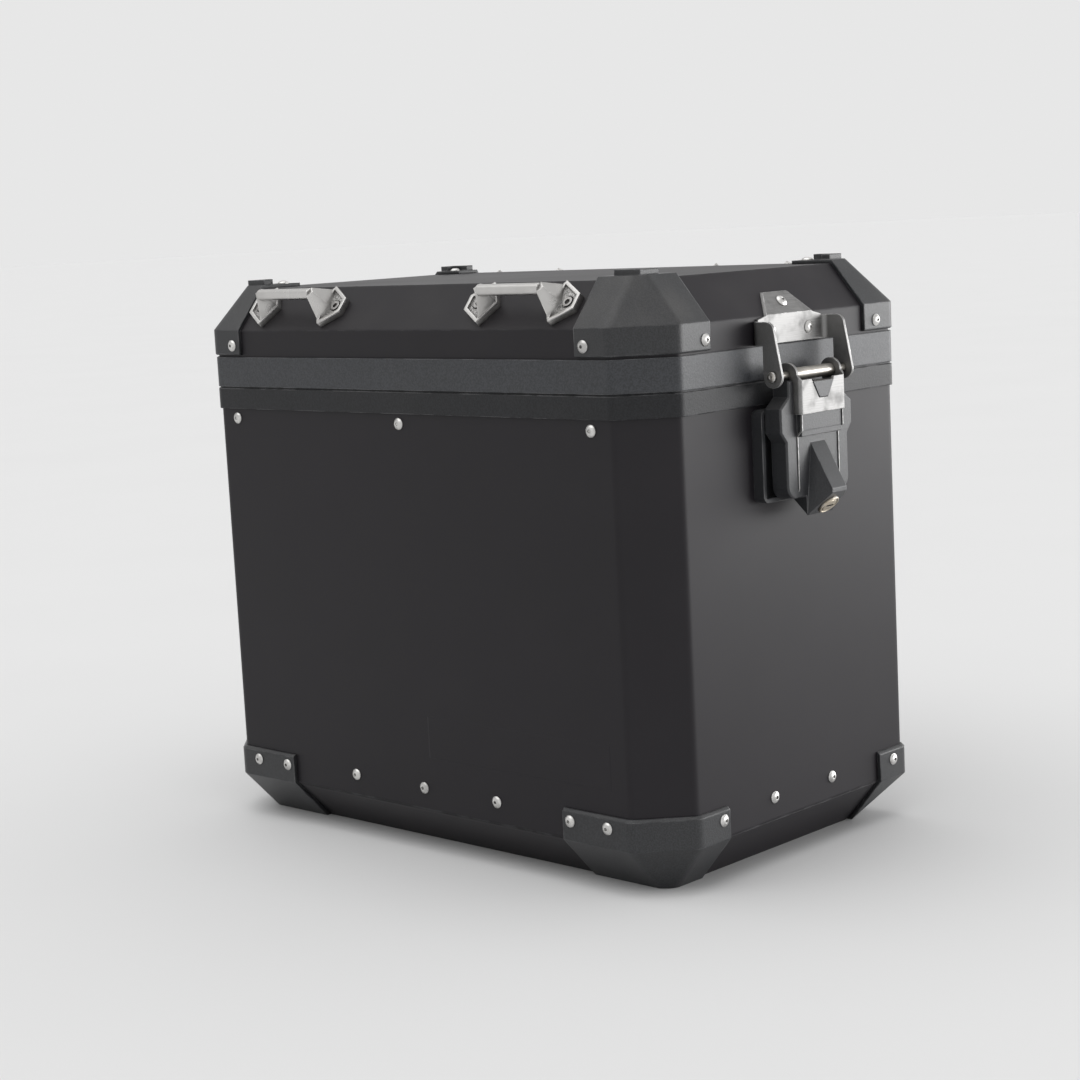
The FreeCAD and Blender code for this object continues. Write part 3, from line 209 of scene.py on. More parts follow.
def new_finish(name):
    """A material with only its surface shader."""
    material = bpy.data.materials.new(name)
    material.use_nodes = True
    tree = material.node_tree
    tree.nodes.clear()
    surface = node(tree, "ShaderNodeBsdfPrincipled")
    output = node(tree, "ShaderNodeOutputMaterial")
    tree.links.new(surface.outputs["BSDF"], output.inputs["Surface"])
    return material, tree, surface


def bumped(tree, surface, height, depth, normal):
    """Feeds the surface's normal from a height, depth metres deep, over an already rounded normal."""
    bump = node(tree, "ShaderNodeBump")
    bump.inputs["Distance"].default_value = depth
    tree.links.new(height, bump.inputs["Height"])
    tree.links.new(normal, bump.inputs["Normal"])
    tree.links.new(bump.outputs["Normal"], surface.inputs["Normal"])


SPOT_STEP = (0.36, 0.64)
DARK_TONE_SHARE = 0.82
GLOSS_CHANGE = 0.02
DUST_ROUGHENS = 0.3


def coated_finish(
    name, colour, rubbed, roughness, grain, depth, edge, dust, shine, speckle=0.0, field=None
):
    """A dark coat or moulding: grain, rubbed edges and dust over one colour.

    Grain is in cycles for each metre. Depth is the grain's height and edge the radius at edges, in
    metres. Speckle is how far the grain's spots differ, and field adds a relief of its own.
    """
    material, tree, surface = new_finish(name)
    surface.inputs["Specular IOR Level"].default_value = shine
    grained = place_effect(tree, GRAIN, Grain_Scale=grain, Tone_Scale=7.0)
    worn = place_effect(tree, RUBBED_EDGE, Edge_Radius=edge, Patchiness=70.0)
    dusty = place_effect(tree, ROAD_DUST, Amount=dust)
    spots = remap(tree, grained.outputs["Height"], *SPOT_STEP)
    tones = []
    for share in (1.0 - speckle, 1.0 + speckle):
        lighter = tuple(share * part for part in colour)
        darker = tuple(DARK_TONE_SHARE * part for part in lighter)
        tones.append(blend_colour(tree, grained.outputs["Tone"], darker, lighter))
    base = blend_colour(tree, spots, *tones)
    base = blend_colour(tree, worn.outputs["Rub"], base, rubbed)
    base = blend_colour(tree, dusty.outputs["Mask"], base, DUST_COLOUR)
    tree.links.new(base, surface.inputs["Base Color"])
    shiny, dull = roughness - GLOSS_CHANGE, roughness + GLOSS_CHANGE
    gloss = remap(tree, grained.outputs["Tone"], to_low=shiny, to_high=dull)
    gloss = maths(tree, "ADD", gloss, maths(tree, "MULTIPLY", dusty.outputs["Mask"], DUST_ROUGHENS))
    tree.links.new(gloss, surface.inputs["Roughness"])
    height = grained.outputs["Height"]
    if field is not None:
        height = maths(tree, "ADD", height, field(tree))
    bumped(tree, surface, height, depth, worn.outputs["Normal"])
    return material


def dress(finish, *nodes):
    """Gives CAD nodes their finish."""
    for name in nodes:
        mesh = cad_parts[name].data
        mesh.materials.clear()
        mesh.materials.append(finish)


COAT_COLOUR = (0.0132, 0.0114, 0.0142)
COAT_RUBBED = (0.055, 0.054, 0.058)
shell_low, shell_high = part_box("body_shell")

# the field's ends, its foot and top, the width of its slanted border, its rise in heights of
# grain, and how far behind the outer face it fades out
FIELD_X = (0.0086, 0.182)
FIELD_Z = (0.070, 0.101)
FIELD_BORDER = 0.0012
FIELD_RISE = 9.0
OUTER_SKIN = 0.001


def pressed_field(tree):
    """A low bare field pressed out of the outer face, in units of the grain's height."""
    axes = node(tree, "ShaderNodeSeparateXYZ")
    tree.links.new(node(tree, "ShaderNodeTexCoord").outputs["Object"], axes.inputs["Vector"])
    borders = [
        remap(tree, axes.outputs["X"], FIELD_X[0], FIELD_X[0] + FIELD_BORDER),
        remap(tree, axes.outputs["X"], FIELD_X[1], FIELD_X[1] - FIELD_BORDER),
        remap(tree, axes.outputs["Z"], FIELD_Z[0], FIELD_Z[0] + FIELD_BORDER),
        remap(tree, axes.outputs["Z"], FIELD_Z[1], FIELD_Z[1] - FIELD_BORDER),
        remap(tree, axes.outputs["Y"], shell_low.y + 2 * OUTER_SKIN, shell_low.y + OUTER_SKIN),
    ]
    field = borders[0]
    for border in borders[1:]:
        field = maths(tree, "MULTIPLY", field, border)
    return maths(tree, "MULTIPLY", field, FIELD_RISE)


sheet_values = dict(
    colour=COAT_COLOUR, rubbed=COAT_RUBBED, roughness=0.46, grain=2200.0, depth=0.00002,
    edge=0.0026, dust=0.035, shine=0.28,
)
sheet_finish = coated_finish("Satin black powder coat", **sheet_values)
wrap_finish = coated_finish(
    "Satin black powder coat with pressed field", field=pressed_field, **sheet_values
)
dress(sheet_finish, "bottom_pan", "lid_shell")
dress(wrap_finish, "body_shell")


# The two rims are moulded bands that cap the edges of body and lid, and the lid's carries a foam seal.
# They are dark plastic with an even spark-eroded grain. Their two colours are painted light and shade:
# the lid's rim is painted lighter than the body's.

# the body's rim is painted darker and the lid's rim lighter: painted shade and painted light
BODY_RIM_COLOUR = (0.0125, 0.0130, 0.0150)
LID_RIM_COLOUR = (0.0330, 0.0355, 0.0405)
rim_values = dict(
    rubbed=(0.14, 0.14, 0.145), roughness=0.44, grain=950.0, depth=0.00013, edge=0.0011,
    dust=0.10, speckle=0.30,
)
body_rim_finish = coated_finish("Grained rim, painted darker", colour=BODY_RIM_COLOUR, shine=0.32, **rim_values)
lid_rim_finish = coated_finish("Grained rim, painted lighter", colour=LID_RIM_COLOUR, shine=0.5, **rim_values)
dress(body_rim_finish, "body_rim")
dress(lid_rim_finish, "lid_rim")


PORE_COLOUR = (0.012, 0.012, 0.013)
FOAM_COLOUR = (0.030, 0.030, 0.031)
FOAM_DEPTH = 0.0003
PORE_STEP = (0.4, 0.6)
PORE_ROUGHNESS = 0.95
FOAM_ROUGHNESS = 0.8


def foam_finish():
    """Closed-cell foam with open skin pores."""
    material, tree, surface = new_finish("Foam seal")
    grained = place_effect(tree, GRAIN, Grain_Scale=900.0, Tone_Scale=40.0)
    skin = remap(tree, grained.outputs["Height"], *PORE_STEP)
    tree.links.new(blend_colour(tree, skin, PORE_COLOUR, FOAM_COLOUR), surface.inputs["Base Color"])
    rough = remap(tree, skin, to_low=PORE_ROUGHNESS, to_high=FOAM_ROUGHNESS)
    tree.links.new(rough, surface.inputs["Roughness"])
    flat = node(tree, "ShaderNodeNewGeometry")
    bumped(tree, surface, grained.outputs["Height"], FOAM_DEPTH, flat.outputs["Normal"])
    return material


dress(foam_finish(), "lid_seal")


# Corner guards round the bottom fold and corner covers on the lid, moulded in charcoal
# plastic with a fine grain. Their edges are rounded and rubbed from stacking and handling.

corner_finish = coated_finish(
    "Grained charcoal corners", colour=(0.0245, 0.0255, 0.0280), rubbed=(0.16, 0.16, 0.165),
    roughness=0.42, grain=1000.0, depth=0.00012, edge=0.0015, dust=0.12, shine=0.5, speckle=0.30,
)
ENDS = ("front", "rear")
SIDES = ("outer", "inner")
for end in ENDS:
    for side in SIDES:
        dress(corner_finish, "guard_%s_%s" % (end, side), "cover_%s_%s" % (end, side))


# Four lashing eyes on the lid's long slopes, cast in aluminium and tumbled bright. Each is a bar
# between two hollow feet, and each foot is held by one socket screw.

# The crevice effect below paints shade: a darker mask where ambient occlusion finds nearby surfaces,
# broken into patches.
HIDDEN_STEP = (0.92, 0.45)
SHADE_PATCH_SCALE = 180.0
SHADE_PATCH_STEP = (0.25, 0.6)
THIN_SHADE = 0.45


def crevice_effect():
    """Painted shade in corners and round the feet of heads, darker where ambient occlusion finds nearby
    surfaces, in noisy patches.
    """
    tree, entry, outlet = effect("Painted crevice shade", {"Reach": 0.004}, {"Mask": "NodeSocketFloat"})
    corner = node(tree, "ShaderNodeAmbientOcclusion", samples=6, only_local=False)
    tree.links.new(entry.outputs["Reach"], corner.inputs["Distance"])
    hidden = remap(tree, corner.outputs["AO"], *HIDDEN_STEP)
    patches = noise(tree, SHADE_PATCH_SCALE, detail=4.0)
    patches = remap(tree, patches, *SHADE_PATCH_STEP, to_low=THIN_SHADE)
    tree.links.new(maths(tree, "MULTIPLY", hidden, patches), outlet.inputs["Mask"])
    return tree


CREVICE = crevice_effect()

# side, which way along Y it faces, and how far in its slope of the lid runs
SIDE_SLOPE_RUNS = (("outer", -1, 0.025), ("inner", 1, 0.016))
SLOPE_HEIGHT = 0.030
lid_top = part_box("lid_shell")[1].z


def long_slope(way, run):
    """A long slope's outward direction, and its middle between its foot and the lid's top."""
    square = Vector((0, way * SLOPE_HEIGHT, run)).normalized()
    middle = Vector((0, way * (shell_high.y - run / 2), lid_top - SLOPE_HEIGHT / 2))
    return square, middle


# the pockets' floors over the slope, and how far from that height still counts as floor
POCKET_LEVEL = 0.0034
LEVEL_PLAY = 0.0003


def pocket_floors(tree):
    """A mask of the sunk floors of the feet, from their height over the slope that they sit on."""
    place = node(tree, "ShaderNodeTexCoord").outputs["Object"]
    floors = 0.0
    for side, way, run in SIDE_SLOPE_RUNS:
        square, on_slope = long_slope(way, run)
        rise = node(tree, "ShaderNodeVectorMath", operation="DOT_PRODUCT")
        tree.links.new(place, rise.inputs[0])
        rise.inputs[1].default_value = square
        off = maths(tree, "SUBTRACT", rise.outputs["Value"], square.dot(on_slope) + POCKET_LEVEL)
        near = maths(tree, "COMPARE", off, 0.0)
        near.node.inputs[2].default_value = LEVEL_PLAY
        floors = maths(tree, "MAXIMUM", near, floors)
    return floors


CAST_DULL = (0.54, 0.53, 0.515)
CAST_BRIGHT = (0.61, 0.60, 0.585)
CAST_RUBBED = (0.88, 0.87, 0.85)
# the next colour is painted shade in the eyes' corners; the two sand colours after it darken the
# pockets' floors as painted shade over their rough grain
CAST_SHADE = (0.17, 0.165, 0.16)
SHADED_SAND_DARK = (0.17, 0.17, 0.165)
SHADED_SAND_LIGHT = (0.50, 0.49, 0.48)
SAND_STEP = (0.38, 0.62)
CAST_DEPTH = 0.00006
CAST_DULL_ROUGHNESS = 0.36
CAST_BRIGHT_ROUGHNESS = 0.27
CREVICE_ROUGHENS = 0.25
SAND_ROUGHENS = 0.15


def cast_finish():
    """Tumbled casting: bright on the flats, sand rough in the pockets, whose floors are darkened as
    painted shade, with painted shade in its corners.
    """
    material, tree, surface = new_finish("Tumbled cast aluminium")
    grained = place_effect(tree, GRAIN, Grain_Scale=420.0, Tone_Scale=55.0)
    sand = place_effect(tree, GRAIN, Grain_Scale=900.0, Tone_Scale=300.0)
    worn = place_effect(tree, RUBBED_EDGE, Edge_Radius=0.0012, Patchiness=110.0)
    painted_shade = place_effect(tree, CREVICE, Reach=0.005)
    base = blend_colour(tree, grained.outputs["Tone"], CAST_DULL, CAST_BRIGHT)
    base = blend_colour(tree, worn.outputs["Rub"], base, CAST_RUBBED)
    sunk = pocket_floors(tree)
    sand_grains = remap(tree, sand.outputs["Height"], *SAND_STEP)
    # the pockets' floors: rough sand grain, darkened as painted shade
    base = blend_colour(tree, sunk, base, blend_colour(tree, sand_grains, SHADED_SAND_DARK, SHADED_SAND_LIGHT))
    # painted shade in the corners
    base = blend_colour(tree, painted_shade.outputs["Mask"], base, CAST_SHADE)
    tree.links.new(base, surface.inputs["Base Color"])
    surface.inputs["Metallic"].default_value = 1.0
    rough = remap(
        tree, grained.outputs["Tone"], to_low=CAST_DULL_ROUGHNESS, to_high=CAST_BRIGHT_ROUGHNESS
    )
    rough = maths(tree, "ADD", rough, maths(tree, "MULTIPLY", painted_shade.outputs["Mask"], CREVICE_ROUGHENS))
    rough = maths(tree, "ADD", rough, maths(tree, "MULTIPLY", sunk, SAND_ROUGHENS))
    tree.links.new(rough, surface.inputs["Roughness"])
    sanded = maths(tree, "MULTIPLY", sand.outputs["Height"], sunk)
    height = maths(tree, "ADD", grained.outputs["Height"], sanded)
    bumped(tree, surface, height, CAST_DEPTH, worn.outputs["Normal"])
    return material


cast = cast_finish()
for end in ENDS:
    for side in SIDES:
        dress(cast, "eye_%s_%s" % (end, side))


# Latches, one at each end. Folded stainless steel carries the load: a bracket with two ears on
# the lid, the pin, a spacer sleeve on it and the notched channel. The lever and the housing
# that it closes onto are moulded, and a plated lock cylinder sits in the lever's foot.

STEEL_RUBBED = (0.86, 0.86, 0.85)
# the colour of the painted shade in the steel's corners and round heads, and how much of it is laid on
STEEL_SHADE = (0.10, 0.095, 0.09)
STEEL_SHADE_SHARE = 0.7
LINE_STEP = (0.3, 0.7)
LINE_GLOSS_STEP = (0.2, 0.8)
DARK_LINE_SHARE = 0.72
STAIN_SHARE = 0.8
STAIN_SCALE = 90.0
STAIN_STEP = (0.45, 0.75)
STAIN_ROUGHENS = 0.08
LINE_GLOSS_CHANGE = 0.16
BRUSH_DEPTH = 0.00002


def steel_finish(name, along, colour, rough=0.26):
    """Satin steel with fine lines, as many for each metre along X, Y and Z as along says."""
    material, tree, surface = new_finish(name)
    place = node(tree, "ShaderNodeMapping")
    tree.links.new(node(tree, "ShaderNodeTexCoord").outputs["Object"], place.inputs["Vector"])
    place.inputs["Scale"].default_value = along
    lines = noise(tree, 1.0, detail=4.0, place=place.outputs["Vector"])
    worn = place_effect(tree, RUBBED_EDGE, Edge_Radius=0.0006, Patchiness=150.0)
    stains = remap(tree, noise(tree, STAIN_SCALE, detail=5.0), *STAIN_STEP)
    darker = tuple(DARK_LINE_SHARE * part for part in colour)
    stained = tuple(STAIN_SHARE * part for part in darker)
    base = blend_colour(tree, remap(tree, lines, *LINE_STEP), darker, colour)
    base = blend_colour(tree, stains, base, stained)
    base = blend_colour(tree, worn.outputs["Rub"], base, STEEL_RUBBED)
    # painted shade in corners and round the feet of heads, from the crevice mask
    painted_shade = place_effect(tree, CREVICE, Reach=0.0025)
    shade_amount = maths(tree, "MULTIPLY", painted_shade.outputs["Mask"], STEEL_SHADE_SHARE)
    base = blend_colour(tree, shade_amount, base, STEEL_SHADE)
    tree.links.new(base, surface.inputs["Base Color"])
    surface.inputs["Metallic"].default_value = 1.0
    duller = rough + LINE_GLOSS_CHANGE
    gloss = remap(tree, lines, *LINE_GLOSS_STEP, to_low=rough, to_high=duller)
    gloss = maths(tree, "ADD", gloss, maths(tree, "MULTIPLY", stains, STAIN_ROUGHENS))
    tree.links.new(gloss, surface.inputs["Roughness"])
    bumped(tree, surface, lines, BRUSH_DEPTH, worn.outputs["Normal"])
    return material


BRUSH_FINE = 2600.0
BRUSH_LONG = 60.0
PLATE_COLOUR = (0.31, 0.307, 0.303)
PIN_COLOUR = (0.62, 0.59, 0.54)
LOCK_COLOUR = (0.66, 0.58, 0.46)
LOCK_LINES = 400.0
brushed_plate = (BRUSH_FINE, BRUSH_LONG, BRUSH_FINE)
turned_pin = (BRUSH_LONG, BRUSH_FINE, BRUSH_LONG)
plate_steel = steel_finish("Satin steel plate", brushed_plate, PLATE_COLOUR, rough=0.40)
pin_steel = steel_finish("Turned steel pin", turned_pin, PIN_COLOUR)
lock_finish = steel_finish("Plated lock", (LOCK_LINES, LOCK_LINES, LOCK_LINES), LOCK_COLOUR)
lever_finish = coated_finish(
    "Filled charcoal plastic", colour=(0.030, 0.031, 0.034), rubbed=(0.17, 0.17, 0.175),
    roughness=0.36, grain=1250.0, depth=0.00010, edge=0.0009, dust=0.08, shine=0.5, speckle=0.20,
)
for end in ENDS:
    dress(plate_steel, "lid_bracket_" + end, "latch_hook_" + end)
    dress(pin_steel, "latch_pin_" + end, "latch_sleeve_" + end)
    dress(lever_finish, "latch_lever_" + end, "latch_catch_" + end)
    dress(lock_finish, "latch_lock_" + end)


# Two thin edges of the lever's steel core show beside its middle block and down the grip. The
# lock cylinder ends in a plated face: a raised ring and a plug with the key slot.

def solid_piece(name, corners, faces):
    """A closed mesh with its faces turned outwards."""
    mesh = bpy.data.meshes.new(name)
    mesh.from_pydata(corners, [], faces)
    shape = bmesh.new()
    shape.from_mesh(mesh)
    bmesh.ops.recalc_face_normals(shape, faces=shape.faces)
    shape.to_mesh(mesh)
    shape.free()
    piece = bpy.data.objects.new(name, mesh)
    bpy.context.scene.collection.objects.link(piece)
    return piece


STRIP_HALF = 0.0004
STRIP_REACH = 0.0226
STRIP_DEPTH = 0.0016
# x and z of a strip's front at the rear lever, from the neck down over the step to the grip's end
STRIP_ROUTE = (
    (0.2548, 0.3080), (0.2548, 0.2976), (0.2507, 0.2934), (0.2507, 0.2585), (0.2497, 0.2560),
)


def core_edges(name, way, middle):
    """Two upright strips that follow the lever's front."""
    corners, faces = [], []
    for hand in (-1, 1):
        start = len(corners)
        y = middle + hand * STRIP_REACH
        for x, z in STRIP_ROUTE:
            for side, depth in ((-1, 0.0), (1, 0.0), (1, STRIP_DEPTH), (-1, STRIP_DEPTH)):
                corners.append((way * (x - depth), y + side * STRIP_HALF, z))
        for step in range(len(STRIP_ROUTE) - 1):
            here, there = start + 4 * step, start + 4 * step + 4
            for side in range(4):
                after = (side + 1) % 4
                faces.append((here + side, here + after, there + after, there + side))
        last = start + 4 * (len(STRIP_ROUTE) - 1)
        faces.append((start, start + 1, start + 2, start + 3))
        faces.append((last + 3, last + 2, last + 1, last))
    return solid_piece(name, corners, faces)


# the lock looks out and down, square to the underside of its housing, and is twice LOCK_HALF long
LOCK_FACING = Vector((15.0, 0, -16.5)).normalized()
LOCK_HALF = 0.0049
# radius and height over the cylinder's face, from the foot of the ring to the plug's rim
LOCK_PROFILE = (
    (0.0078, -0.0003), (0.0078, 0.0003), (0.0074, 0.0007), (0.0068, 0.0007), (0.0064, 0.0002),
    (0.0058, 0.0002), (0.0056, 0.0006), (0.0052, 0.0008),
)
SLOT_HALF_LONG = 0.0042
SLOT_HALF_WIDE = 0.0008
SLOT_FLOOR = 0.00006
CAP_STEPS = 18
# the slot is shallow, and its two near-black colours paint the shade inside a deep keyway
SLOT_SHADE_DARK = (0.010, 0.010, 0.010)
SLOT_SHADE_LIGHT = (0.022, 0.021, 0.020)
SLOT_ROUGHNESS = 0.6
slot_shade_finish, slot_tree, slot_surface = new_finish("Painted shade in key slot")
slot_grain = place_effect(slot_tree, GRAIN, Grain_Scale=1200.0, Tone_Scale=200.0)
slot_tone = blend_colour(slot_tree, slot_grain.outputs["Tone"], SLOT_SHADE_DARK, SLOT_SHADE_LIGHT)
slot_tree.links.new(slot_tone, slot_surface.inputs["Base Color"])
slot_surface.inputs["Roughness"].default_value = SLOT_ROUGHNESS


def lock_face(name, way, middle):
    """A turned face on the lock's end, with a shallow round-ended slot along Y in its plug, coloured
    near black as painted shade.

    It is worked out at the rear lock, and the front one is its mirror.
    """
    low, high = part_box("latch_lock_rear")
    face = Vector((low.x + high.x, 0, low.z + high.z)) / 2 + LOCK_FACING * LOCK_HALF
    up = Vector((LOCK_FACING.z, 0, -LOCK_FACING.x))
    turns = [math.pi * (step + 0.5) / CAP_STEPS - math.pi / 2 for step in range(CAP_STEPS)]
    turns += [turn + math.pi for turn in turns]
    rings = [
        [(radius * math.cos(turn), radius * math.sin(turn), height) for turn in turns]
        for radius, height in LOCK_PROFILE
    ]
    straight = SLOT_HALF_LONG - SLOT_HALF_WIDE
    for height in (LOCK_PROFILE[-1][1], SLOT_FLOOR):
        ring = []
        for turn in turns:
            along = math.copysign(straight, math.cos(turn)) + SLOT_HALF_WIDE * math.cos(turn)
            ring.append((along, SLOT_HALF_WIDE * math.sin(turn), height))
        rings.append(ring)
    corners = []
    for ring in rings:
        for along, across, height in ring:
            spot = face + LOCK_FACING * height + up * across
            corners.append((way * spot.x, middle + along, spot.z))
    count, last = len(turns), len(rings) - 1
    faces = [tuple(range(count)), tuple(range(last * count, (last + 1) * count))]
    for number in range(last):
        for step in range(count):
            after = (step + 1) % count
            here, there = number * count, (number + 1) * count
            faces.append((here + step, here + after, there + after, there + step))
    piece = solid_piece(name, corners, faces)
    piece.data.materials.append(lock_finish)
    piece.data.materials.append(slot_shade_finish)
    for polygon in piece.data.polygons:
        if min(polygon.vertices) >= (last - 1) * count:
            polygon.material_index = 1
    return piece


for end, way in (("front", -1), ("rear", 1)):
    low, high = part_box("latch_lever_" + end)
    middle = (low.y + high.y) / 2
    strips = core_edges("lever_core_" + end, way, middle)
    strips.data.materials.append(plate_steel)
    plug = lock_face("lock_face_" + end, way, middle)
    for piece, part_slot in ((strips, "steel"), (plug, "lock")):
        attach(piece, "latch_" + end)


# Claws and saddle on the inner side hang the case on the carrier's tubes. They are moulded in
# the same filled plastic as the levers.

dress(lever_finish, "claw_front", "claw_rear", "saddle_lower")


# Blind rivets with domed aluminium heads join the sheets and hold the guards, the covers and the
# steel brackets. Each is set from outside, and its pulled tail stands out on the inside.

def set_on_points(tree, entry, head, result):
    """Sets a head on every point, square to the sheet there, as real mesh in one metal."""
    outward = node(tree, "GeometryNodeInputNamedAttribute", data_type="FLOAT_VECTOR")
    outward.inputs["Name"].default_value = "outward"
    turn = node(tree, "FunctionNodeAlignRotationToVector", axis="Z")
    tree.links.new(outward.outputs["Attribute"], turn.inputs["Vector"])
    heads = node(tree, "GeometryNodeInstanceOnPoints")
    tree.links.new(entry.outputs["Points"], heads.inputs["Points"])
    tree.links.new(head, heads.inputs["Instance"])
    tree.links.new(turn.outputs["Rotation"], heads.inputs["Rotation"])
    real = node(tree, "GeometryNodeRealizeInstances")
    tree.links.new(heads.outputs["Instances"], real.inputs["Geometry"])
    painted = node(tree, "GeometryNodeSetMaterial")
    tree.links.new(real.outputs["Geometry"], painted.inputs["Geometry"])
    tree.links.new(entry.outputs["Metal"], painted.inputs["Material"])
    tree.links.new(painted.outputs["Geometry"], result)


HEAD_SEGMENTS = 24
HEAD_RINGS = 12
HOLE_SEGMENTS = 16


def rivet_tree():
    """Domed heads, each with the broken mandrel's hole, on points that carry their direction."""
    tree = bpy.data.node_groups.new("Domed rivets", "GeometryNodeTree")
    tree.interface.new_socket("Points", in_out="INPUT", socket_type="NodeSocketGeometry")
    for label in ("Head Diameter", "Head Height", "Foot Height", "Hole Radius"):
        tree.interface.new_socket(label, in_out="INPUT", socket_type="NodeSocketFloat")
    tree.interface.new_socket("Metal", in_out="INPUT", socket_type="NodeSocketMaterial")
    tree.interface.new_socket("Rivets", in_out="OUTPUT", socket_type="NodeSocketGeometry")
    entry, outlet = node(tree, "NodeGroupInput"), node(tree, "NodeGroupOutput")
    link = tree.links.new

    half = maths(tree, "MULTIPLY", entry.outputs["Head Diameter"], 0.5)
    size = node(tree, "ShaderNodeCombineXYZ")
    link(half, size.inputs["X"])
    link(half, size.inputs["Y"])
    link(entry.outputs["Head Height"], size.inputs["Z"])
    ball = node(tree, "GeometryNodeMeshUVSphere")
    ball.inputs["Segments"].default_value = HEAD_SEGMENTS
    ball.inputs["Rings"].default_value = HEAD_RINGS
    ball.inputs["Radius"].default_value = 1.0
    dome = node(tree, "GeometryNodeTransform")
    link(ball.outputs["Mesh"], dome.inputs["Geometry"])
    link(size.outputs["Vector"], dome.inputs["Scale"])

    hole = node(tree, "GeometryNodeMeshCylinder")
    hole.inputs["Vertices"].default_value = HOLE_SEGMENTS
    link(entry.outputs["Hole Radius"], hole.inputs["Radius"])
    link(entry.outputs["Head Height"], hole.inputs["Depth"])
    hole_place = node(tree, "ShaderNodeCombineXYZ")
    link(entry.outputs["Head Height"], hole_place.inputs["Z"])
    sunk = node(tree, "GeometryNodeTransform")
    link(hole.outputs["Mesh"], sunk.inputs["Geometry"])
    link(hole_place.outputs["Vector"], sunk.inputs["Translation"])
    pierced = node(tree, "GeometryNodeMeshBoolean", operation="DIFFERENCE")
    link(dome.outputs["Geometry"], pierced.inputs["Mesh 1"])
    link(sunk.outputs["Geometry"], pierced.inputs["Mesh 2"])

    foot = node(tree, "GeometryNodeMeshCylinder")
    foot.inputs["Vertices"].default_value = HEAD_SEGMENTS
    link(half, foot.inputs["Radius"])
    link(entry.outputs["Foot Height"], foot.inputs["Depth"])
    both = node(tree, "GeometryNodeJoinGeometry")
    link(pierced.outputs["Mesh"], both.inputs["Geometry"])
    link(foot.outputs["Mesh"], both.inputs["Geometry"])
    set_on_points(tree, entry, both.outputs["Geometry"], outlet.inputs["Rivets"])
    return tree


SHARP_ANGLE = math.radians(40)


def grow(name, places, tree, body, slot, **inputs):
    """Puts the tree's heads on a list of (place, outward direction), as one plain mesh on a body."""
    points = bpy.data.meshes.new(name + "_points")
    points.from_pydata([place for place, outward in places], [], [])
    directions = points.attributes.new("outward", "FLOAT_VECTOR", "POINT")
    for number, (place, outward) in enumerate(places):
        directions.data[number].vector = outward
    carrier = bpy.data.objects.new(name + "_carrier", points)
    bpy.context.scene.collection.objects.link(carrier)
    modifier = carrier.modifiers.new("Grow", "NODES")
    modifier.node_group = tree
    sockets = {item.name: item.identifier for item in tree.interface.items_tree}
    for label, setting in inputs.items():
        modifier[sockets[label.replace("_", " ")]] = setting
    bpy.context.view_layer.update()
    evaluated = carrier.evaluated_get(bpy.context.evaluated_depsgraph_get())
    mesh = bpy.data.meshes.new_from_object(evaluated)
    mesh.name = name
    mesh.shade_smooth()
    mesh.set_sharp_from_angle(angle=SHARP_ANGLE)
    bpy.data.objects.remove(carrier)
    piece = bpy.data.objects.new(name, mesh)
    bpy.context.scene.collection.objects.link(piece)
    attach(piece, body)


RIVETS = rivet_tree()
RIVET_COLOUR = (0.80, 0.79, 0.77)
RIVET_LINES = 300.0
rivet_metal = steel_finish(
    "Bright rivet aluminium", (RIVET_LINES, RIVET_LINES, RIVET_LINES), RIVET_COLOUR
)
OUT = Vector((0, -1, 0))
IN = Vector((0, 1, 0))
FORE = Vector((-1, 0, 0))
AFT = Vector((1, 0, 0))
UP = Vector((0, 0, 1))

# every rivet is its place on the outside, its outward direction and the thickness that it grips
WALL = 0.0015
TOP_ROW_HEIGHT = 0.3082
TOP_ROW_X = (-0.1795, -0.0025, 0.1785)
BOTTOM_ROW_HEIGHT = 0.0476
BOTTOM_ROW_X = (-0.0704, 0.0018, 0.0742)
END_ROW_Y = (-0.0203, 0.0451)
case_rivets = []
for face, outward in ((shell_low.y, OUT), (shell_high.y, IN)):
    case_rivets += [(Vector((x, face, TOP_ROW_HEIGHT)), outward, WALL) for x in TOP_ROW_X]
    case_rivets += [(Vector((x, face, BOTTOM_ROW_HEIGHT)), outward, 2 * WALL) for x in BOTTOM_ROW_X]
for face, outward in ((shell_low.x, FORE), (shell_high.x, AFT)):
    case_rivets += [(Vector((face, y, BOTTOM_ROW_HEIGHT)), outward, 2 * WALL) for y in END_ROW_Y]

GUARD_THICK = 0.003
GUARD_ROW_HEIGHT = 0.0455
GUARD_OUTER_X = (0.1455, 0.1790)
GUARD_INNER_X = 0.2020
GUARD_END_Y = (-0.0792, 0.1157)
guard_grip = GUARD_THICK + 2 * WALL
for way, outward in ((-1, FORE), (1, AFT)):
    for x in GUARD_OUTER_X:
        place = Vector((way * x, shell_low.y - GUARD_THICK, GUARD_ROW_HEIGHT))
        case_rivets.append((place, OUT, guard_grip))
    for y in GUARD_END_Y:
        place = Vector((way * (shell_high.x + GUARD_THICK), y, GUARD_ROW_HEIGHT))
        case_rivets.append((place, outward, guard_grip))
    place = Vector((way * GUARD_INNER_X, shell_high.y + GUARD_THICK, GUARD_ROW_HEIGHT))
    case_rivets.append((place, IN, guard_grip))

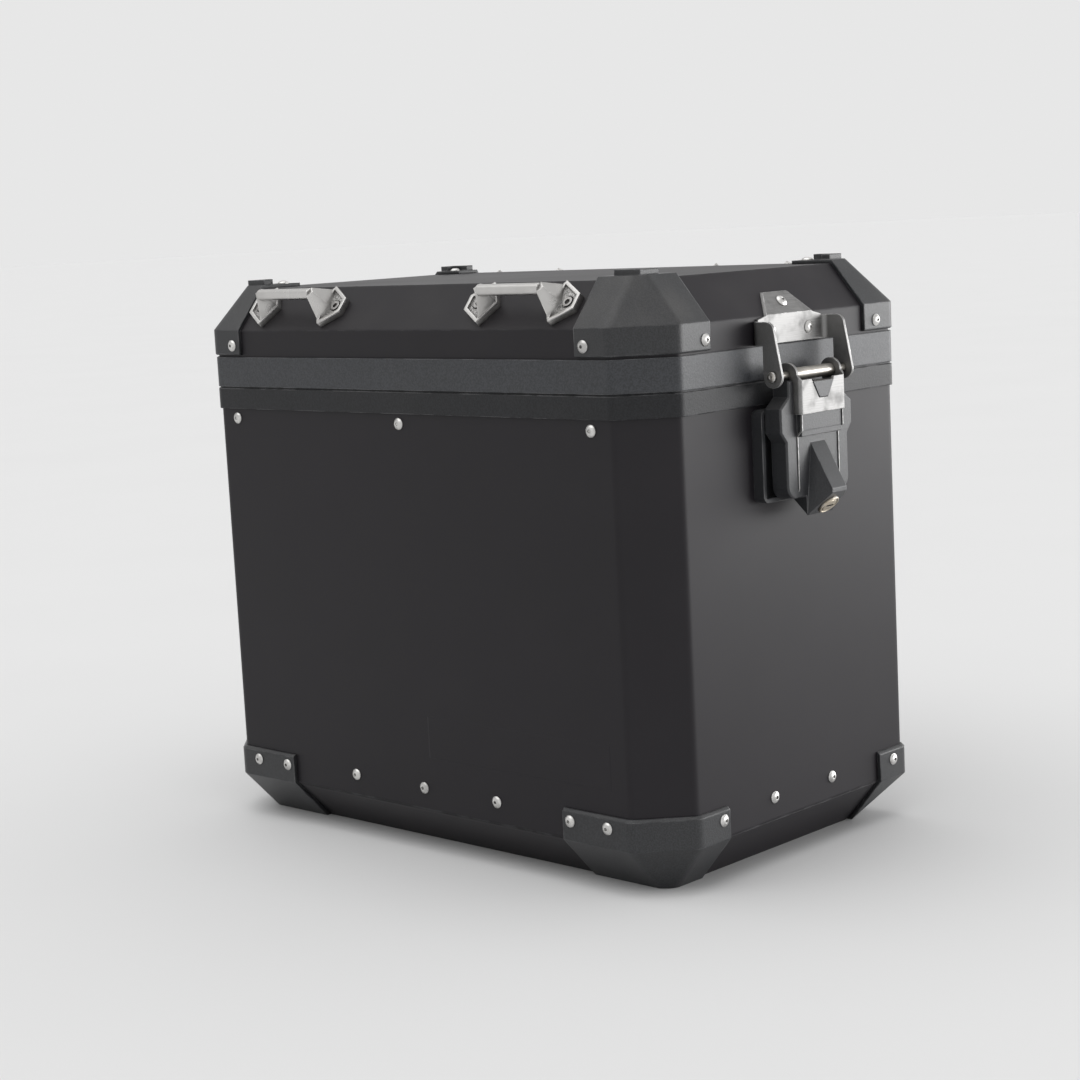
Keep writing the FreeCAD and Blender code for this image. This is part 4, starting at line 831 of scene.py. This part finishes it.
COVER_THICK = 0.0025
COVER_ROW_HEIGHT = 0.3626
COVER_LONG_X = 0.1773
COVER_END_Y = (-0.0780, 0.1109)
COVER_TOP_PLACES = ((0.1780, -0.0820), (0.1790, 0.1030))
cover_grip = COVER_THICK + WALL
lid_rivets = []
for way, outward in ((-1, FORE), (1, AFT)):
    for face, across in ((shell_low.y - COVER_THICK, OUT), (shell_high.y + COVER_THICK, IN)):
        lid_rivets.append((Vector((way * COVER_LONG_X, face, COVER_ROW_HEIGHT)), across, cover_grip))
    for y in COVER_END_Y:
        place = Vector((way * (shell_high.x + COVER_THICK), y, COVER_ROW_HEIGHT))
        lid_rivets.append((place, outward, cover_grip))
    for x, y in COVER_TOP_PLACES:
        lid_rivets.append((Vector((way * x, y, lid_top + COVER_THICK)), UP, cover_grip))

BRACKET_THICK = 0.002
BRACKET_RIVET_REACH = 0.0203
BRACKET_RIVET_HEIGHT = 0.3632
TONGUE_RIVET_RISE = 0.0073
# end, which way along X it faces, that direction, and how far in its slope of the lid runs
END_SLOPE_RUNS = (("front", -1, FORE, 0.0345), ("rear", 1, AFT, 0.025))
bracket_grip = BRACKET_THICK + WALL
bend_level = lid_top - SLOPE_HEIGHT
for end, way, outward, run in END_SLOPE_RUNS:
    low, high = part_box("lid_bracket_" + end)
    middle = (low.y + high.y) / 2
    for hand in (-1, 1):
        y = middle + hand * BRACKET_RIVET_REACH
        place = Vector((way * (shell_high.x + BRACKET_THICK), y, BRACKET_RIVET_HEIGHT))
        lid_rivets.append((place, outward, bracket_grip))
    square = Vector((way * SLOPE_HEIGHT, 0, run)).normalized()
    inset = TONGUE_RIVET_RISE * run / SLOPE_HEIGHT
    on_slope = Vector((way * (shell_high.x - inset), middle, bend_level + TONGUE_RIVET_RISE))
    lid_rivets.append((on_slope + BRACKET_THICK * square, square, bracket_grip))

head_sizes = dict(
    Head_Diameter=0.0084, Head_Height=0.0023, Foot_Height=0.0012, Hole_Radius=0.0012,
    Metal=rivet_metal,
)
tail_sizes = dict(
    Head_Diameter=0.0062, Head_Height=0.0036, Foot_Height=0.0012, Hole_Radius=0.0010,
    Metal=rivet_metal,
)
for body, rivets in (("case", case_rivets), ("lid", lid_rivets)):
    heads = [(place, outward) for place, outward, grip in rivets]
    tails = [(place - grip * outward, -outward) for place, outward, grip in rivets]
    grow(body + "_rivets", heads, RIVETS, body, "steel", **head_sizes)
    grow(body + "_rivet_tails", tails, RIVETS, body, "steel", **tail_sizes)


# Each latch pin is turned steel. It is headed over in a press outside both ears of its bracket,
# which leaves a low dome with a small dimple.

pin_end_sizes = dict(
    Head_Diameter=0.0068, Head_Height=0.0012, Foot_Height=0.0010, Hole_Radius=0.0011,
    Metal=pin_steel,
)
pin_ends = []
for end in ENDS:
    low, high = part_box("latch_pin_" + end)
    axis = (low + high) / 2
    pin_ends += [(Vector((axis.x, low.y, axis.z)), OUT), (Vector((axis.x, high.y, axis.z)), IN)]
grow("pin_ends", pin_ends, RIVETS, "lid", "steel", **pin_end_sizes)


# Socket screws hold the lashing eyes' feet to the slopes and the claws and the saddle to the
# inner side. Their heads are turned steel with a hexagon pressed in.

SCREW_SEGMENTS = 28
HEXAGON = 6


def screw_tree():
    """Socket heads on points that carry their outward direction."""
    tree = bpy.data.node_groups.new("Socket screws", "GeometryNodeTree")
    tree.interface.new_socket("Points", in_out="INPUT", socket_type="NodeSocketGeometry")
    for label in ("Head Radius", "Head Height", "Socket Radius", "Socket Depth"):
        tree.interface.new_socket(label, in_out="INPUT", socket_type="NodeSocketFloat")
    tree.interface.new_socket("Metal", in_out="INPUT", socket_type="NodeSocketMaterial")
    tree.interface.new_socket("Screws", in_out="OUTPUT", socket_type="NodeSocketGeometry")
    entry, outlet = node(tree, "NodeGroupInput"), node(tree, "NodeGroupOutput")
    bars = []
    for sides, radius, half_length in (
        (SCREW_SEGMENTS, "Head Radius", "Head Height"),
        (HEXAGON, "Socket Radius", "Socket Depth"),
    ):
        bar = node(tree, "GeometryNodeMeshCylinder")
        bar.inputs["Vertices"].default_value = sides
        tree.links.new(entry.outputs[radius], bar.inputs["Radius"])
        length = maths(tree, "MULTIPLY", entry.outputs[half_length], 2.0)
        tree.links.new(length, bar.inputs["Depth"])
        bars.append(bar.outputs["Mesh"])
    lift = node(tree, "ShaderNodeCombineXYZ")
    tree.links.new(entry.outputs["Head Height"], lift.inputs["Z"])
    sunk = node(tree, "GeometryNodeTransform")
    tree.links.new(bars[1], sunk.inputs["Geometry"])
    tree.links.new(lift.outputs["Vector"], sunk.inputs["Translation"])
    pierced = node(tree, "GeometryNodeMeshBoolean", operation="DIFFERENCE")
    tree.links.new(bars[0], pierced.inputs["Mesh 1"])
    tree.links.new(sunk.outputs["Geometry"], pierced.inputs["Mesh 2"])
    set_on_points(tree, entry, pierced.outputs["Mesh"], outlet.inputs["Screws"])
    return tree


SCREWS = screw_tree()
SCREW_COLOUR = (0.42, 0.41, 0.40)
SCREW_LINES = 500.0
screw_metal = steel_finish(
    "Turned screw steel", (SCREW_LINES, SCREW_LINES, SCREW_LINES), SCREW_COLOUR
)
EYE_SCREW_REACH = 0.041
EYE_SCREW_SEAT = 0.0012
eye_screws = []
for end in ENDS:
    for side, way, run in SIDE_SLOPE_RUNS:
        low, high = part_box("eye_%s_%s" % (end, side))
        square, on_slope = long_slope(way, run)
        for hand in (-1, 1):
            along = Vector(((low.x + high.x) / 2 + hand * EYE_SCREW_REACH, 0, 0))
            eye_screws.append((on_slope + along + EYE_SCREW_SEAT * square, square))
grow(
    "eye_screws", eye_screws, SCREWS, "lid", "steel",
    Head_Radius=0.0038, Head_Height=0.0028, Socket_Radius=0.0022, Socket_Depth=0.0018, Metal=screw_metal,
)

CLAW_SCREW_RISE = 0.0090
CLAW_SCREW_REACH = 0.0100
SADDLE_SCREW_REACH = 0.0240
CLAW_PLATE = 0.0035
mount_screws = []
inside = shell_high.y - WALL
for claw in ("claw_front", "claw_rear"):
    low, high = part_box(claw)
    level = low.z + CLAW_SCREW_RISE
    for hand in (-1, 1):
        x = (low.x + high.x) / 2 + hand * CLAW_SCREW_REACH
        mount_screws.append((Vector((x, shell_high.y + CLAW_PLATE, level)), IN))
        mount_screws.append((Vector((x, inside, level)), OUT))
low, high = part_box("saddle_lower")
level = (low.z + high.z) / 2
for hand in (-1, 1):
    mount_screws.append((Vector((hand * SADDLE_SCREW_REACH, inside, level)), OUT))
grow(
    "mount_screws", mount_screws, SCREWS, "case", "steel",
    Head_Radius=0.0050, Head_Height=0.0030, Socket_Radius=0.0027, Socket_Depth=0.0020, Metal=screw_metal,
)


# A pale, matt studio floor under the case. It is wide enough that its end is never seen, and it
# isn't part of the case.

FLOOR_REACH = 40.0
FLOOR_COLOUR = (0.80, 0.80, 0.80)
FLOOR_PATCH_SHARE = 0.97
FLOOR_PATCH_SCALE = 3.0
FLOOR_ROUGHNESS = 0.85
FLOOR_SHINE = 0.15
floor_ends = ((-1, -1), (1, -1), (1, 1), (-1, 1))
floor_corners = [(x * FLOOR_REACH, y * FLOOR_REACH, 0) for x, y in floor_ends]
floor_mesh = bpy.data.meshes.new("floor")
floor_mesh.from_pydata(floor_corners, [], [(0, 1, 2, 3)])
floor = bpy.data.objects.new("floor", floor_mesh)
bpy.context.scene.collection.objects.link(floor)
floor_finish, floor_tree, floor_surface = new_finish("Pale studio floor")
floor_patches = noise(floor_tree, FLOOR_PATCH_SCALE, detail=3.0)
floor_patch_colour = tuple(FLOOR_PATCH_SHARE * part for part in FLOOR_COLOUR)
floor_tone = blend_colour(floor_tree, floor_patches, FLOOR_COLOUR, floor_patch_colour)
floor_tree.links.new(floor_tone, floor_surface.inputs["Base Color"])
floor_surface.inputs["Roughness"].default_value = FLOOR_ROUGHNESS
floor_surface.inputs["Specular IOR Level"].default_value = FLOOR_SHINE
floor_mesh.materials.append(floor_finish)
floor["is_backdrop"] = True


# Plain soft studio light. The room is bright overhead and behind the case and darker behind the
# camera, as in a photographer's studio, with a broad lamp above and a low panel behind. Where the
# room is seen, also in metal and in the coat's gloss, it is pale all round.

world = bpy.data.worlds.new("Studio room")
bpy.context.scene.world = world
world.use_nodes = True
room = world.node_tree
room.nodes.clear()
BRIGHT_SIDE = (0.61, 0.79, 0.0)
DARK_LEVEL = 0.06
BRIGHT_LEVEL = 1.0
CEILING_LEVEL = 0.70
SEEN_LEVEL = 0.80
# where one fades into the next: by the cosine to the bright side, and by the height in the sky
SIDE_FADE = (-0.7, 0.8)
CEILING_FADE = (0.15, 0.60)
direction = node(room, "ShaderNodeTexCoord").outputs["Generated"]
facing = node(room, "ShaderNodeVectorMath", operation="DOT_PRODUCT")
room.links.new(direction, facing.inputs[0])
facing.inputs[1].default_value = BRIGHT_SIDE
side = remap(room, facing.outputs["Value"], *SIDE_FADE, to_low=DARK_LEVEL, to_high=BRIGHT_LEVEL)
paths = node(room, "ShaderNodeLightPath")
seen = maths(room, "MAXIMUM", paths.outputs["Is Camera Ray"], paths.outputs["Is Glossy Ray"])
seen = maths(room, "MAXIMUM", seen, paths.outputs["Is Transmission Ray"])
side = remap(room, seen, to_low=side, to_high=SEEN_LEVEL)
axes = node(room, "ShaderNodeSeparateXYZ")
room.links.new(direction, axes.inputs["Vector"])
level = remap(room, axes.outputs["Z"], *CEILING_FADE, to_low=side, to_high=CEILING_LEVEL)
background = node(room, "ShaderNodeBackground")
background.inputs["Color"].default_value = (1.0, 1.0, 1.0, 1.0)
room.links.new(level, background.inputs["Strength"])
room.links.new(background.outputs["Background"], node(room, "ShaderNodeOutputWorld").inputs["Surface"])

# A broad lamp above, even over the floor, gives soft shadows.
OVERHEAD_FROM = Vector((-0.15, -0.25, 1.0))
OVERHEAD_SPREAD = 70.0
OVERHEAD_POWER = 1.15
overhead_light = bpy.data.lights.new("overhead_light", "SUN")
overhead_light.angle = math.radians(OVERHEAD_SPREAD)
overhead_light.energy = OVERHEAD_POWER
overhead = bpy.data.objects.new("overhead_light", overhead_light)
overhead.rotation_euler = OVERHEAD_FROM.to_track_quat("Z", "Y").to_euler()
bpy.context.scene.collection.objects.link(overhead)

# A long low panel behind the case's rear inner corner gives the end face its sheen. It is low, so
# that the lid's top mirrors it only faintly, and kept off the floor, where it would leave a patch.
PANEL_PLACE = Vector((1.45, 1.60, 0.45))
PANEL_AIM = Vector((0.20, 0.0, 0.22))
PANEL_LONG = 2.6
PANEL_TALL = 0.80
PANEL_POWER = 38.0
panel_light = bpy.data.lights.new("rear_panel", "AREA")
panel_light.shape = "RECTANGLE"
panel_light.size = PANEL_LONG
panel_light.size_y = PANEL_TALL
panel_light.energy = PANEL_POWER
panel = bpy.data.objects.new("rear_panel", panel_light)
panel.location = PANEL_PLACE
panel.rotation_euler = (PANEL_PLACE - PANEL_AIM).to_track_quat("Z", "Y").to_euler()
panel.visible_camera = False
bpy.context.scene.collection.objects.link(panel)
kept_off = bpy.data.collections.new("Kept off the rear panel's light")
kept_off.objects.link(floor)
kept_off.collection_objects[0].light_linking.link_state = "EXCLUDE"
panel.light_linking.receiver_collection = kept_off


# The camera stands where the photograph was taken from, low and towards the case's outer
# rear corner.

CAMERA_PLACE = (1.13774, -1.18677, 0.44514)
CAMERA_TURN = (81.766, 2.945, 43.359)
CAMERA_LENS = 74.14
CAMERA_SENSOR = 36.0
camera_data = bpy.data.cameras.new("camera")
camera_data.lens = CAMERA_LENS
camera_data.sensor_width = CAMERA_SENSOR
camera = bpy.data.objects.new("camera", camera_data)
camera.location = CAMERA_PLACE
camera.rotation_euler = Euler([math.radians(turn) for turn in CAMERA_TURN], "XYZ")
bpy.context.scene.collection.objects.link(camera)
bpy.context.scene.camera = camera
bpy.context.scene.view_settings.view_transform = "Standard"

low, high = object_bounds()
